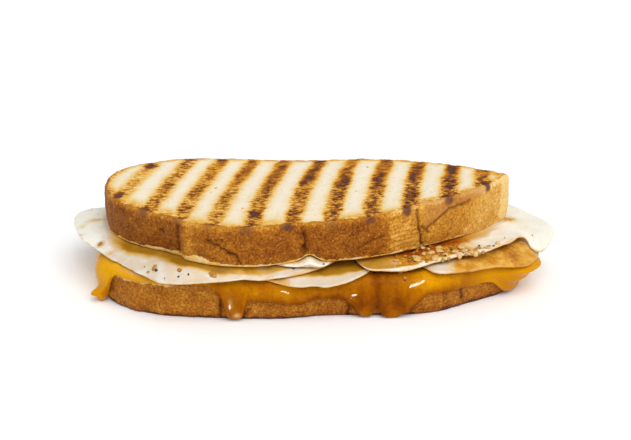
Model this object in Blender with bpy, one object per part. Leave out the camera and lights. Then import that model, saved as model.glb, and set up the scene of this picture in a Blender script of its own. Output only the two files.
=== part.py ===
"""Grilled cheese sandwich: two slices of a domed loaf, melted cheese and four thin sheets of omelette.

Metres, +Z up, floor at z = 0, origin at the middle of the underside. +X runs along the slices, and the
domed crust faces -Y. Sizes below are in millimetres. Everything is first laid out level, with even gaps
between the layers, and then settled: a slight waviness, and a filling that is deeper towards +X.
"""

import math

import bpy
import numpy as np
from mathutils.geometry import delaunay_2d_cdt

MM = 0.001

# ---- driving sizes, mm
GAP = 0.4                  # clearance between neighbouring layers
LOWER_SLICE_HEIGHT = 14.5
UPPER_SLICE_HEIGHT = 15.0
UPPER_SLICE_FLOOR = 21.0   # underside of the upper slice, before settling
CRUST_ROUNDING = 2.4       # radius of the lower slice's upper edge, which the cheese goes over
UPPER_ROUNDING = 1.2       # radius of the upper slice's upper edge
CUT_ROUNDING = 0.9         # radius of both slices' lower edges
CRUST_BULGE = 0.7          # how far the crust swells at mid height
FACE_EDGE = 0.96           # size of the flat face's first ring against the edge rounding
CHEESE_ON_TOP = 1.25       # cheese thickness over the lower slice
CHEESE_CLEAR_OF_FLOOR = 0.4
SHEET_THICKNESS = 1.1
FOLD_SPAN = 14.0           # how far the narrow upper fold reaches towards -X
FOLD_THICKNESS = 0.85
SHEET_BEND = 3.8           # how far in from its rim a sheet starts to bend
WAVE_HEIGHT = 0.35         # waviness of the layers
TOP_RISE = 3.6             # how much higher the sandwich is at +X
FILLING_SHARE = 0.15       # how much of that is filling: the rest is a thicker upper slice
RISE_FROM, RISE_OVER = -8.0, 82.0
ARCH = (0.6, 3.4, 2.6)     # lifted lip of the upper slice: station, half width, height
SEAM = (-45.0, 1.6, 3.4)   # step across the front crust of the upper slice: station, half width, depth

# ---- plan outlines, mm: (x, y) for the slices, and (x, y, droop of the rim) for the sheets
UPPER_SLICE = (
    (78.2, 8.2), (74.5, 11.5), (57, 24), (40, 31.5), (16, 37), (-10, 39.5), (-36, 41.8),
    (-54, 40.6), (-69, 34), (-77.2, 25.5), (-80, 13), (-74, -11.5), (-64, -22), (-52, -30.5),
    (-42, -38.5), (-29, -43.4), (-16, -43), (-5, -38.6), (8, -37.3), (22, -34.6), (36, -28.6),
    (63, -10.8), (72, -0.8),
)
LOWER_SLICE = (
    (79.2, -6), (78, 8), (71, 19), (56, 27.5), (36, 33), (12, 37), (-14, 39.6), (-38, 40.5),
    (-57, 37), (-70, 29), (-77.4, 16), (-79.6, 1), (-75.4, -22.4), (-67, -31.8), (-55, -37.6),
    (-24, -41.3), (-8, -41.3), (6, -38.6), (34, -38), (46, -35.6), (57, -29.4), (76, -16),
)
LEFT_SHEET = (
    (-95.2, 17.5, 1.5), (-92.4, 25, 1.7), (-87, 28.2, 2.3), (-79, 29.5, 2.5), (-69, 36, 2.7),
    (-57, 42.4, 3.1), (-44, 44.6, 3.3), (-30, 43, 2.7), (-16, 44.6, 1.3), (-3, 41, 0.6), (8, 37, 0.2),
    (12.4, 26, 0), (13, 6, 0), (12.5, -12, 0), (12.4, -25, 0), (9.6, -32, 0), (-5, -42.8, 0.7),
    (-31, -46.4, 3.2), (-50, -46.2, 3.8), (-62, -36, 3.4), (-74, -23.8, 2.8), (-85, -11, 2),
    (-90, -2, 1.7),
)
MIDDLE_SHEET = (
    (24.5, -10, 0), (24, 12, 0), (22.6, 30, 0), (19, 39.2, 0.3), (9, 43, 1.3), (-2, 42, 0.9),
    (-12, 44, 0.9), (-18.6, 38, 0.2), (-20.6, 20, 0), (-19.6, 0, 0), (-20.4, -20, 0),
    (-19.6, -36, 0.1), (-15.6, -42.6, 0.8), (-3, -45.6, 2.2), (2, -44.8, 2), (7.6, -45.4, 2.3),
    (22, -36.6, 0.2),
)
RIGHT_SHEET = (
    (16.6, -24, 0), (21, -38.8, 0.1), (28, -39.2, 0.9), (36, -38.8, 1.5), (56, -31, 0.1),
    (63, -29.2, -0.2), (75.8, -18, -0.6), (82.8, -9.6, 0.3), (85, -13, 3.8), (88.6, -13.6, 4.4),
    (95.8, 0.2, 0.9), (86.4, 17.5, -0.6), (80.4, 24.6, -0.8), (70, 27.6, -0.8), (58, 31.4, -0.6),
    (44, 37.4, 0.2), (30, 40.6, 0), (20, 37.4, 0), (16.8, 24, 0), (16.2, 0, 0),
)
LOWER_RIGHT_SHEET = (
    (39.6, -20, 0), (41, -32, 0), (45, -37.6, 0.4), (52, -37, 1), (68, -29.2, 1.8),
    (82, -22.6, 3.6), (88.2, -10, 3.1), (83.4, 6, 0.4), (77.6, 17, 0), (70, 25, 0),
    (56, 31, 0), (45, 33, 0), (39.6, 27, 0), (38.6, 4, 0),
)
UPPER_FOLD = (
    (-13.4, -36, 0), (-8, -39.6, 0), (4.6, -39.8, 0), (8, -36, 0), (8.4, -20, 0), (7.6, 0, 0),
    (8.6, 22, 0), (6, 38.4, 0.1), (-12, 38.6, 0.1), (-13.6, 20, 0), (-12.6, -2, 0), (-13.6, -22, 0),
)

# ---- cheese at the edge of the lower slice, mm
PLAIN_HANG = (1.7, 6.3, 2.8)       # how far it hangs: front at -X, front from the middle on, back
PLAIN_THICKNESS = (0.85, 1.55, 1.2)
SPREAD_FROM, SPREAD_OVER = -34.5, 6.0   # where the front begins to hang
FRONT_DRIPS = (                    # station along x, half width, hang, thickness gained at the lip
    (-82.5, 10.0, 14.0, 0.1), (-26.0, 4.6, 14.0, 0.8), (-5, 7.0, 7.6, 0.1), (27.3, 12.0, 14.0, 0.7),
    (83, 13.5, 13.4, 1.0),
)
BACK_DRIPS = (
    (-84, 9.0, 14.0, 0.2), (-34, 5.5, 10.5, 0.8), (11, 9.0, 6.8, 0.4), (50, 7.5, 12.8, 1.0),
    (83, 11.0, 13.4, 1.0),
)
LOBES = ((62.0, 14.0, 4.2), (-70.0, -8.0, 1.2))   # swelling at each end: from, over, thickness gained
BULGE = (-12.0, 10.0, 5.6)         # fuller part of the +X end: station along y, half width, gained
LEFT_FOOT = (-75.4, -23.6, 3.8, 5.4)   # foot of cheese spread on the floor: x, y, half width, reach

STEPS = 84                 # around a slice
RIM_STEP = 6.0             # along a sheet's rim
FACE_SPACING, SHEET_SPACING = 14.0, 12.0   # of the points inside a face


# ---- curves
def closed_curve(points, count):
    """A smooth closed curve through the points, cut into even steps and running anticlockwise."""
    p = np.array(points, float)
    ahead = np.roll(p, -1, axis=0)
    knots = np.sqrt(np.linalg.norm((ahead - p)[:, :2], axis=1))
    before = np.roll(knots, 1)
    slope_in, slope_out = (p - np.roll(p, 1, axis=0)) / before[:, None], (ahead - p) / knots[:, None]
    tangent = (slope_in * knots[:, None] + slope_out * before[:, None]) / (knots + before)[:, None]
    fine = []
    leaving, arriving = knots[:, None] * tangent, knots[:, None] * np.roll(tangent, -1, axis=0)
    for t in np.linspace(0, 1, 24, endpoint=False):
        h = (2 * t**3 - 3 * t**2 + 1, t**3 - 2 * t**2 + t, -2 * t**3 + 3 * t**2, t**3 - t**2)
        fine.append(h[0] * p + h[1] * leaving + h[2] * ahead + h[3] * arriving)
    curve = np.stack(fine, axis=1).reshape(-1, p.shape[1])
    x, y = curve[:, 0], curve[:, 1]
    if np.sum(x * np.roll(y, -1) - y * np.roll(x, -1)) < 0:
        curve = curve[::-1]
    loop = np.vstack([curve, curve[:1]])
    along = np.concatenate([[0], np.cumsum(np.linalg.norm(np.diff(loop[:, :2], axis=0), axis=1))])
    at = np.linspace(0, along[-1], count, endpoint=False)
    return np.stack([np.interp(at, along, loop[:, k]) for k in range(p.shape[1])], axis=1)


def outward(curve):
    """The outward direction at each point of an anticlockwise curve."""
    along = np.roll(curve, -1, axis=0)[:, :2] - np.roll(curve, 1, axis=0)[:, :2]
    out = np.stack([along[:, 1], -along[:, 0]], axis=1)
    return out / np.linalg.norm(out, axis=1)[:, None]


def ease(t):
    t = np.clip(t, 0, 1)
    return t * t * (3 - 2 * t)


def inside(points, loop):
    """Whether each point lies inside the loop."""
    a, b = loop[:, :2], np.roll(loop[:, :2], -1, axis=0)
    x, y = points[:, 0, None], points[:, 1, None]
    spans = (a[:, 1] > y) != (b[:, 1] > y)
    with np.errstate(divide="ignore", invalid="ignore"):
        crossing = a[:, 0] + (y - a[:, 1]) * (b[:, 0] - a[:, 0]) / (b[:, 1] - a[:, 1])
    return (spans & (x < crossing)).sum(axis=1) % 2 == 1


def distances(points, loop):
    return np.linalg.norm(points[:, None, :2] - loop[None, :, :2], axis=2)


def filled(loop, spacing):
    """Staggered points that fill the loop, clear of its edge."""
    low, high = loop[:, :2].min(axis=0), loop[:, :2].max(axis=0)
    rows = []
    for k, y in enumerate(np.arange(low[1], high[1], spacing * math.sqrt(3) / 2)):
        x = np.arange(low[0] + (k % 2) * spacing / 2, high[0], spacing)
        rows.append(np.stack([x, np.full_like(x, y)], axis=1))
    points = np.concatenate(rows)
    clear = distances(points, loop).min(axis=1) > 0.62 * spacing
    return points[inside(points, loop) & clear]


# ---- solids
def settle(points):
    """Bends the level layers into place: gently wavy, with the upper slice thicker towards +X."""
    x, y, z = points[:, 0], points[:, 1], points[:, 2]
    wave = np.sin(x / 19 + 0.6) * np.cos(y / 24 - 0.4) + 0.6 * np.sin(x / 11 - y / 17 + 1.9)
    rise = TOP_RISE * ease((x - RISE_FROM) / RISE_OVER)
    share = FILLING_SHARE * ease((z - LOWER_SLICE_HEIGHT) / (UPPER_SLICE_FLOOR - LOWER_SLICE_HEIGHT))
    share += (1 - FILLING_SHARE) * np.clip((z - UPPER_SLICE_FLOOR) / UPPER_SLICE_HEIGHT, 0, 1)
    lifted = z + WAVE_HEIGHT * wave * np.clip(z / LOWER_SLICE_HEIGHT, 0, 1) + rise * share
    return np.stack([x, y, lifted], axis=1)


def material(name, colour, roughness, subsurface=0.0):
    made = bpy.data.materials.new(name)
    made.use_nodes = True
    shader = made.node_tree.nodes["Principled BSDF"]
    shader.inputs["Base Color"].default_value = (*colour, 1)
    shader.inputs["Roughness"].default_value = roughness
    shader.inputs["Subsurface Weight"].default_value = subsurface
    shader.inputs["Subsurface Scale"].default_value = 0.002
    return made


def capped(ring, points):
    """Triangles over a ring and the loose points inside it, indexed ring first and then points."""
    flat = [tuple(map(float, p)) for p in np.vstack([ring[:, :2], points[:, :2]])]
    found = delaunay_2d_cdt(flat, [], [list(range(len(ring)))], 1, 1e-7)
    return [[found[3][i][0] for i in face] for face in found[2]]


def solid(name, rings, floor_points, roof_points, look):
    """A closed solid: the first ring is closed below, the last above, and the rest join them outside."""
    steps = len(rings[0])
    rows = rings + [floor_points, roof_points]
    starts = np.cumsum([0] + [len(row) for row in rows])
    faces = []
    for k in range(len(rings) - 1):
        low, high = starts[k], starts[k + 1]
        for i in range(steps):
            j = (i + 1) % steps
            faces.append((low + i, low + j, high + j, high + i))
    for ring, loose, flip in ((0, len(rings), True), (len(rings) - 1, len(rings) + 1, False)):
        names = [*range(starts[ring], starts[ring] + steps), *range(starts[loose], starts[loose + 1])]
        for face in capped(rows[ring], rows[loose]):
            corners = [names[i] for i in face]
            faces.append(corners[::-1] if flip else corners)
    mesh = bpy.data.meshes.new(name)
    mesh.from_pydata((settle(np.vstack(rows)) * MM).tolist(), [], [tuple(map(int, f)) for f in faces])
    mesh.polygons.foreach_set("use_smooth", [True] * len(mesh.polygons))
    mesh.update()
    made = bpy.data.objects.new(name, mesh)
    made.data.materials.append(look)
    bpy.context.scene.collection.objects.link(made)
    return made


def raised(points, height):
    return np.column_stack([points[:, :2], np.broadcast_to(height, len(points))])


# ---- bread
def slice_rings(outline, floor, height, rounding, underside, seam):
    """Rings up the side of a slice. underside(points) lifts the lower edge; seam steps the front crust."""
    curve = closed_curve(outline, STEPS)
    out = outward(curve)
    r, cut = rounding, CUT_ROUNDING
    rows = [(cut, 0.0)]
    rows += [(cut * (1 - math.sin(a)), cut * (1 - math.cos(a))) for a in np.radians((15, 48, 84))]
    rows += [(0.0, height * 0.5)]
    rows += [(r * (1 - math.sin(a)), height - r * (1 - math.cos(a))) for a in np.radians((84, 48, 15))]
    rows += [(r, height)]
    rings = []
    for k, (inset, rise) in enumerate(rows):
        swell = CRUST_BULGE * (1 - (2 * rise / height - 1) ** 2)
        ring = curve + out * (swell - inset)
        if k in (0, len(rows) - 1):
            ring *= FACE_EDGE
        if seam:
            station, half, depth = seam
            step = depth * (1 - ease((ring[:, 0] - station + half) / (2 * half)))
            fade = np.exp(-np.clip(station - ring[:, 0], 0, None) / 14) * (1 - ease(rise / height - 0.25))
            ring[:, 1] += step * fade * (ring[:, 1] < 0)
        lift = underside(ring) * (1 - rise / height)
        rings.append(raised(ring, floor + rise + lift))
    return rings


def level(points):
    return np.zeros(len(points))


def arched(points):
    """The lifted lip at the front of the upper slice."""
    station, half, height = ARCH
    near = np.exp(-(((points[:, 0] - station) / half) ** 2))
    return height * near * ease((-points[:, 1] - 24) / 12)


def bread(name, outline, floor, height, rounding, underside, seam, look):
    rings = slice_rings(outline, floor, height, rounding, underside, seam)
    below, above = filled(rings[0], FACE_SPACING), filled(rings[-1], FACE_SPACING)
    return solid(name, rings, raised(below, floor + underside(below)), raised(above, floor + height), look)


# ---- cheese
def side_path(run):
    """A run along the lower slice's section from its flat top: outward offset, height and facing angle."""
    r, quarter = CRUST_ROUNDING, CRUST_ROUNDING * math.pi / 2
    turn = np.clip(run, 0, quarter) / r
    offset = -r * (1 - np.sin(turn)) + np.minimum(run, 0)
    height = LOWER_SLICE_HEIGHT - r * (1 - np.cos(turn)) - np.maximum(run - quarter, 0)
    swell = CRUST_BULGE * (1 - (2 * height / LOWER_SLICE_HEIGHT - 1) ** 2)
    return offset + swell, height, turn


def run_to_hang(hang):
    """The run along the section that reaches this far below the slice's top."""
    r = CRUST_ROUNDING
    around = r * np.arccos(np.clip(1 - hang / r, 0, 1))
    return np.where(hang < r, around, r * math.pi / 2 + hang - r)


def cheese_edge(curve):
    """Hang, then thickness over the bend, half way down and at the lip, round the slice's outline."""
    x = curve[:, 0]
    spread = ease((x - SPREAD_FROM) / SPREAD_OVER)
    sides = []
    for drips, (near, far) in ((FRONT_DRIPS, (0, 1)), (BACK_DRIPS, (2, 2))):
        hang = PLAIN_HANG[near] + (PLAIN_HANG[far] - PLAIN_HANG[near]) * spread
        upper = PLAIN_THICKNESS[near] + (PLAIN_THICKNESS[far] - PLAIN_THICKNESS[near]) * spread
        lip = 0.9 * upper
        for station, half, reach, gained in drips:
            bump = np.exp(-(((x - station) / half) ** 6))
            hang = hang + (reach - hang) * bump
            lip = lip + gained * bump
        sides.append((hang, upper, lip))
    front = ease((6 - curve[:, 1]) / 12)
    hang, upper, lip = (front * a + (1 - front) * b for a, b in zip(*sides))
    hang = np.minimum(hang, LOWER_SLICE_HEIGHT - CHEESE_CLEAR_OF_FLOOR)
    upper = upper + sum(gained * ease((x - start) / over) for start, over, gained in LOBES)
    station, half, gained = BULGE
    bulge = gained * np.exp(-(((curve[:, 1] - station) / half) ** 2)) * ease((x - 68) / 8)
    return hang, upper + bulge, 0.65 * upper + 0.35 * lip + 0.3 * bulge, lip


def cheese(look):
    curve = closed_curve(LOWER_SLICE, STEPS)
    out = outward(curve)
    hang, upper, middle, lip = cheese_edge(curve)
    x, y, half, reach = LEFT_FOOT
    near = np.exp(-(np.hypot(curve[:, 0] - x, curve[:, 1] - y) / half) ** 2)
    foot = reach * near
    hang = hang + (LOWER_SLICE_HEIGHT - CHEESE_CLEAR_OF_FLOOR - hang) * near
    end = run_to_hang(hang)
    quarter = CRUST_ROUNDING * math.pi / 2
    clear = 0.12 + 0.07 * np.abs(np.roll(hang, -1) - np.roll(hang, 1))

    def ring(run, share, thickness):
        """One ring at this run along the section, standing off it by the gap and a share of the cheese."""
        offset, height, turn = side_path(run)
        side = ease((run - 0.35 * quarter) / (0.95 * quarter))
        stand = GAP + (clear if share == 0 else 0) + share * (thickness * side + CHEESE_ON_TOP * (1 - side))
        place = curve + out * (offset + stand * np.sin(turn))[:, None]
        return raised(place, height + stand * np.cos(turn))

    flat = np.full(STEPS, -4.0), np.full(STEPS, -0.4)
    bend = [np.minimum(end * f / 5, quarter * f / 3) for f in (1, 2, 3)]

    def down(share):
        return bend[2] + (end - bend[2]) * share

    rows = [ring(run, 0, upper) for run in (*flat, *bend, down(0.5), down(0.94))]
    rows += [ring(down(1.0), 0.5, lip + foot * 1.6), ring(down(0.88), 1.0, lip + foot)]
    rows += [ring(down(0.45), 1.0, middle)]
    rows += [ring(run, 1.0, upper) for run in (*bend[::-1], *flat[::-1])]
    low = LOWER_SLICE_HEIGHT + GAP
    below, above = filled(rows[0], FACE_SPACING), filled(rows[-1], FACE_SPACING)
    return solid("cheese", rows, raised(below, low), raised(above, low + CHEESE_ON_TOP), look)


# ---- omelette
def sheet(name, outline, base, thickness, look, rim_step=RIM_STEP):
    """A thin sheet lying at base(points), with a rim that droops below it."""
    corners = np.array(outline)[:, :2]
    length = np.linalg.norm(corners - np.roll(corners, 1, axis=0), axis=1).sum()
    steps = round(length / rim_step)
    rim = closed_curve(outline, steps)
    out = outward(rim)

    def middle(points):
        apart = distances(points, rim)
        weight = 1 / (apart**2 + 4.0) ** 2
        droop = (weight * rim[:, 2]).sum(axis=1) / weight.sum(axis=1)
        return base(points) - droop * np.exp(-((apart.min(axis=1) / SHEET_BEND) ** 2))

    def at(place, share):
        return raised(place, middle(place) + share * thickness(place) / 2)

    insets = ((1.3, -1), (0.25, -0.8), (0.0, 0.1), (0.4, 0.85), (1.4, 1))
    rings = [at(rim[:, :2] - out * inset, share) for inset, share in insets]
    loose = filled(rim, SHEET_SPACING)
    loose = loose[distances(loose, rim).min(axis=1) > 2.9 * SHEET_BEND]
    for inset in (0.9 * SHEET_BEND, 1.9 * SHEET_BEND):
        track = closed_curve(rim[:, :2] - out * inset, steps // 2)
        track = track[inside(track, rim) & (distances(track, rim).min(axis=1) > 0.9 * inset)]
        loose = np.vstack([loose, track])
    return solid(name, rings, at(loose, -1), at(loose, 1), look)


def even(points):
    return np.full(len(points), SHEET_THICKNESS)


def folded(points):
    """The narrow fold under the upper slice, fattest where it lifts the slice's lip."""
    station, half, height = ARCH
    near = np.exp(-(((points[:, 0] - station) / (0.8 * half)) ** 2))
    return FOLD_THICKNESS + 0.75 * height * near * ease((-points[:, 1] - 28) / 10)


LAYER_LOW = LOWER_SLICE_HEIGHT + GAP + CHEESE_ON_TOP + GAP + SHEET_THICKNESS / 2 + 0.1
LAYER_HIGH = LAYER_LOW + SHEET_THICKNESS + GAP + 0.15


def low_layer(points):
    return np.full(len(points), LAYER_LOW)


def high_layer(points):
    """The upper sheets, which rise to the upper slice on both sides of the narrow fold."""
    left = ease((-FOLD_SPAN - 1 - points[:, 0]) / 9)
    right = ease((points[:, 0] - 24) / 20)
    return LAYER_HIGH + (UPPER_SLICE_FLOOR - 0.55 - SHEET_THICKNESS / 2 - LAYER_HIGH) * left + 1.25 * right


def fold_layer(points):
    """The fold's middle height, so that its underside stays level where it is fat."""
    low = LAYER_HIGH + SHEET_THICKNESS / 2 + GAP
    return low + folded(points) / 2


def centre():
    """Moves every mesh so that the origin is at the middle of the whole underside."""
    meshes = [made.data for made in bpy.data.objects if made.type == "MESH"]
    corners = np.array([tuple(v.co) for mesh in meshes for v in mesh.vertices])
    low, high = corners.min(axis=0), corners.max(axis=0)
    shift = ((low[0] + high[0]) / 2, (low[1] + high[1]) / 2, low[2])
    for mesh in meshes:
        for vertex in mesh.vertices:
            vertex.co = [a - b for a, b in zip(vertex.co, shift)]


def main():
    for old in list(bpy.data.objects):
        bpy.data.objects.remove(old, do_unlink=True)
    toast = material("toasted_bread", (0.52, 0.24, 0.07), 0.75)
    melted = material("melted_cheese", (0.86, 0.42, 0.03), 0.3, 0.3)
    egg = material("omelette", (0.88, 0.82, 0.66), 0.45, 0.2)
    fried = material("browned_omelette", (0.78, 0.55, 0.24), 0.5, 0.2)
    bread("bread_bottom", LOWER_SLICE, 0.0, LOWER_SLICE_HEIGHT, CRUST_ROUNDING, level, None, toast)
    cheese(melted)
    sheet("egg_middle", MIDDLE_SHEET, low_layer, even, egg)
    sheet("egg_lower_right", LOWER_RIGHT_SHEET, low_layer, even, fried)
    sheet("egg_left", LEFT_SHEET, high_layer, even, egg)
    sheet("egg_right", RIGHT_SHEET, high_layer, even, fried, 5.0)
    sheet("egg_fold", UPPER_FOLD, fold_layer, folded, egg)
    upper = UPPER_SLICE, UPPER_SLICE_FLOOR, UPPER_SLICE_HEIGHT, UPPER_ROUNDING
    bread("bread_top", *upper, arched, SEAM, toast)
    centre()


main()
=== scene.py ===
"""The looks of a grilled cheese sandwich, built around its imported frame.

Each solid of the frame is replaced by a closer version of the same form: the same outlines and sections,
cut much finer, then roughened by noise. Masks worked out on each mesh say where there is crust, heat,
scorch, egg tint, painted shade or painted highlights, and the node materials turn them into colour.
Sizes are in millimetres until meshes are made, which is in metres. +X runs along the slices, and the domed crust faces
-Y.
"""

import itertools
import math

import bmesh
import bpy
import numpy as np
from mathutils.geometry import delaunay_2d_cdt
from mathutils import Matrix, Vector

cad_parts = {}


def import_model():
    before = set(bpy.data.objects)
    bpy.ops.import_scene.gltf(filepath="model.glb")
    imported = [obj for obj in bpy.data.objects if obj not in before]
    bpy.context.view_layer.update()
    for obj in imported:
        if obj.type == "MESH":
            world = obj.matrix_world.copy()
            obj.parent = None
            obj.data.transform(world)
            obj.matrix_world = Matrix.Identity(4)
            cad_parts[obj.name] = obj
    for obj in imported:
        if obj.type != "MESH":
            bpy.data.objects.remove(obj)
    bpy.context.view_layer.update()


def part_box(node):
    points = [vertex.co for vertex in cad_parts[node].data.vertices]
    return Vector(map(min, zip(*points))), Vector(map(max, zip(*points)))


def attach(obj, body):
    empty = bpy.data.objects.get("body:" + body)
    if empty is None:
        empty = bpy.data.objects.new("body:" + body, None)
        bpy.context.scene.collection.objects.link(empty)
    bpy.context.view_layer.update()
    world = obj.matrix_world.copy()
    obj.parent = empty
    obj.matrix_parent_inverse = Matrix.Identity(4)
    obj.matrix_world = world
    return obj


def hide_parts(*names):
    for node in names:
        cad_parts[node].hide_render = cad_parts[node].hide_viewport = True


MM = 0.001
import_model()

# ---- driving sizes of the solids, mm
GAP = 0.4
LOWER_SLICE_HEIGHT = 14.5
UPPER_SLICE_HEIGHT = 15.0
UPPER_SLICE_FLOOR = 21.0
CRUST_ROUNDING = 2.4
UPPER_ROUNDING = 1.2
CUT_ROUNDING = 0.9
CRUST_BULGE = 0.7
CHEESE_ON_TOP = 1.25
CHEESE_CLEAR_OF_FLOOR = 0.4
SHEET_THICKNESS = 1.1
FOLD_SPAN = 14.0
FOLD_THICKNESS = 0.85
SHEET_BEND = 3.8
WAVE_HEIGHT = 0.35
TOP_RISE = 3.6
FILLING_SHARE = 0.15
RISE_FROM, RISE_OVER = -8.0, 82.0
ARCH = (0.6, 3.4, 2.6)
SEAM = (-45.0, 1.6, 3.4)

# ---- plan outlines, mm: (x, y) for the slices, and (x, y, droop of the rim) for the sheets
UPPER_SLICE = (
    (78.2, 8.2), (74.5, 11.5), (57, 24), (40, 31.5), (16, 37), (-10, 39.5), (-36, 41.8),
    (-54, 40.6), (-69, 34), (-77.2, 25.5), (-80, 13), (-74, -11.5), (-64, -22), (-52, -30.5),
    (-42, -38.5), (-29, -43.4), (-16, -43), (-5, -38.6), (8, -37.3), (22, -34.6), (36, -28.6),
    (63, -10.8), (72, -0.8),
)
LOWER_SLICE = (
    (79.2, -6), (78, 8), (71, 19), (56, 27.5), (36, 33), (12, 37), (-14, 39.6), (-38, 40.5),
    (-57, 37), (-70, 29), (-77.4, 16), (-79.6, 1), (-75.4, -22.4), (-67, -31.8), (-55, -37.6),
    (-24, -41.3), (-8, -41.3), (6, -38.6), (34, -38), (46, -35.6), (57, -29.4), (76, -16),
)
LEFT_SHEET = (
    (-95.2, 17.5, 1.5), (-92.4, 25, 1.7), (-87, 28.2, 2.3), (-79, 29.5, 2.5), (-69, 36, 2.7),
    (-57, 42.4, 3.1), (-44, 44.6, 3.3), (-30, 43, 2.7), (-16, 44.6, 1.3), (-3, 41, 0.6), (8, 37, 0.2),
    (12.4, 26, 0), (13, 6, 0), (12.5, -12, 0), (12.4, -25, 0), (9.6, -32, 0), (-5, -42.8, 0.7),
    (-31, -46.4, 3.2), (-50, -46.2, 3.8), (-62, -36, 3.4), (-74, -23.8, 2.8), (-85, -11, 2),
    (-90, -2, 1.7),
)
MIDDLE_SHEET = (
    (24.5, -10, 0), (24, 12, 0), (22.6, 30, 0), (19, 39.2, 0.3), (9, 43, 1.3), (-2, 42, 0.9),
    (-12, 44, 0.9), (-18.6, 38, 0.2), (-20.6, 20, 0), (-19.6, 0, 0), (-20.4, -20, 0),
    (-19.6, -36, 0.1), (-15.6, -42.6, 0.8), (-3, -45.6, 2.2), (2, -44.8, 2), (7.6, -45.4, 2.3),
    (22, -36.6, 0.2),
)
RIGHT_SHEET = (
    (16.6, -24, 0), (21, -38.8, 0.1), (28, -39.2, 0.9), (36, -38.8, 1.5), (56, -31, 0.1),
    (63, -29.2, -0.2), (75.8, -18, -0.6), (82.8, -9.6, 0.3), (85, -13, 3.8), (88.6, -13.6, 4.4),
    (95.8, 0.2, 0.9), (86.4, 17.5, -0.6), (80.4, 24.6, -0.8), (70, 27.6, -0.8), (58, 31.4, -0.6),
    (44, 37.4, 0.2), (30, 40.6, 0), (20, 37.4, 0), (16.8, 24, 0), (16.2, 0, 0),
)
LOWER_RIGHT_SHEET = (
    (39.6, -20, 0), (41, -32, 0), (45, -37.6, 0.4), (52, -37, 1), (68, -29.2, 1.8),
    (82, -22.6, 3.6), (88.2, -10, 3.1), (83.4, 6, 0.4), (77.6, 17, 0), (70, 25, 0),
    (56, 31, 0), (45, 33, 0), (39.6, 27, 0), (38.6, 4, 0),
)
UPPER_FOLD = (
    (-13.4, -36, 0), (-8, -39.6, 0), (4.6, -39.8, 0), (8, -36, 0), (8.4, -20, 0), (7.6, 0, 0),
    (8.6, 22, 0), (6, 38.4, 0.1), (-12, 38.6, 0.1), (-13.6, 20, 0), (-12.6, -2, 0), (-13.6, -22, 0),
)

# ---- cheese at the edge of the lower slice, mm
PLAIN_HANG = (1.7, 6.3, 2.8)
PLAIN_THICKNESS = (0.85, 1.55, 1.2)
SPREAD_FROM, SPREAD_OVER = -34.5, 4.0
FRONT_DRIPS = (
    (-82.5, 10.0, 14.0, 0.1), (-26.0, 4.0, 14.0, 0.8), (-5, 7.0, 7.6, 0.1), (27.3, 12.0, 14.0, 0.7),
    (83, 13.5, 13.4, 1.0),
)
BACK_DRIPS = (
    (-84, 9.0, 14.0, 0.2), (-34, 5.5, 10.5, 0.8), (11, 9.0, 6.8, 0.4), (50, 7.5, 12.8, 1.0),
    (83, 11.0, 13.4, 1.0),
)
LOBES = ((62.0, 14.0, 4.2), (-70.0, -8.0, 1.2))
BULGE = (-12.0, 10.0, 5.6)
LEFT_FOOT = (-75.4, -23.6, 3.8, 5.4)

# ---- marks of the grill, mm
STRIPES = (                # station at y = 0, how brown
    (-69.5, 0.37), (-55.5, 0.45), (-42.7, 0.5), (-29.6, 0.53), (-16, 0.58), (-1.5, 0.6), (12.2, 0.62),
    (26.6, 0.63), (40.4, 0.66), (54.5, 0.66), (66.9, 0.58),
)
STRIPE_HALF = 3.3
STRIPE_LEAN = (0.138, 0.0004, 0.001)
SCORCHES = (               # burnt spots: x, y, half width, half depth, strength
    (-65.4, 30.5, 3.1, 4.6, 1.0), (-72, -8, 2.2, 4.8, 1.0), (-60.2, -24.2, 2.9, 4, 0.7),
    (-46.7, -34.5, 2.7, 3.6, 0.55), (-35.2, -40.8, 3, 2.4, 0.5), (-21.5, -44, 4, 2.8, 0.62),
    (-19, -29.8, 1.9, 4.2, 0.95), (-6.4, -40.4, 3.3, 3, 1.0), (-2.2, 6.5, 2.0, 4.2, 0.8), (-0.4, 14, 2, 3, 0.6),
    (9, -39, 4.2, 3, 0.66), (14.6, 7.6, 2.6, 6, 0.6), (22.9, -36, 3.4, 3.2, 1.0), (26.6, 5, 2.2, 6, 0.65),
    (24.5, -13, 1.6, 3, 0.55), (35.8, -29.2, 2.4, 4.6, 1.1), (41, 9, 1.9, 8, 0.6), (52.3, -18.6, 3, 3.4, 0.9),
    (56.8, 15, 2.2, 6.5, 0.7), (54, -5, 1.7, 4, 0.5), (58.6, 22.5, 2.4, 2.2, 0.75), (68.2, -4, 2.1, 4.6, 1.0),
    (71.4, 13.8, 2.6, 2.4, 0.7), (-50, 38.5, 3, 2.4, 0.55), (-36.5, 38.5, 3, 2, 0.45), (4.4, 35.5, 3, 2.4, 0.5),
    (-36, 2.8, 0.6, 1.5, 0.6), (-37.4, -3, 0.5, 1.2, 0.5), (23.9, 23.6, 0.6, 1.5, 0.6), (-24, -23, 0.5, 1.2, 0.5),
    (18.2, -6, 0.5, 1.2, 0.5),
)

# ---- how finely the meshes are cut, mm
FINE, FINE_RIM, COARSE = 0.62, 0.62, 3.0
SEEN_DEPTH = 17.0          # how far in from its rim a sheet is cut finely


# ---- noise
DICE = np.random.default_rng(11)
TABLE = DICE.permutation(256)
SLOPES = DICE.normal(size=(256, 3))
SLOPES /= np.linalg.norm(SLOPES, axis=1)[:, None]
SPOTS = DICE.random((256, 4))


def hashed(cell):
    return TABLE[(TABLE[(TABLE[cell[:, 0] & 255] + cell[:, 1]) & 255] + cell[:, 2]) & 255]


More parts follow.
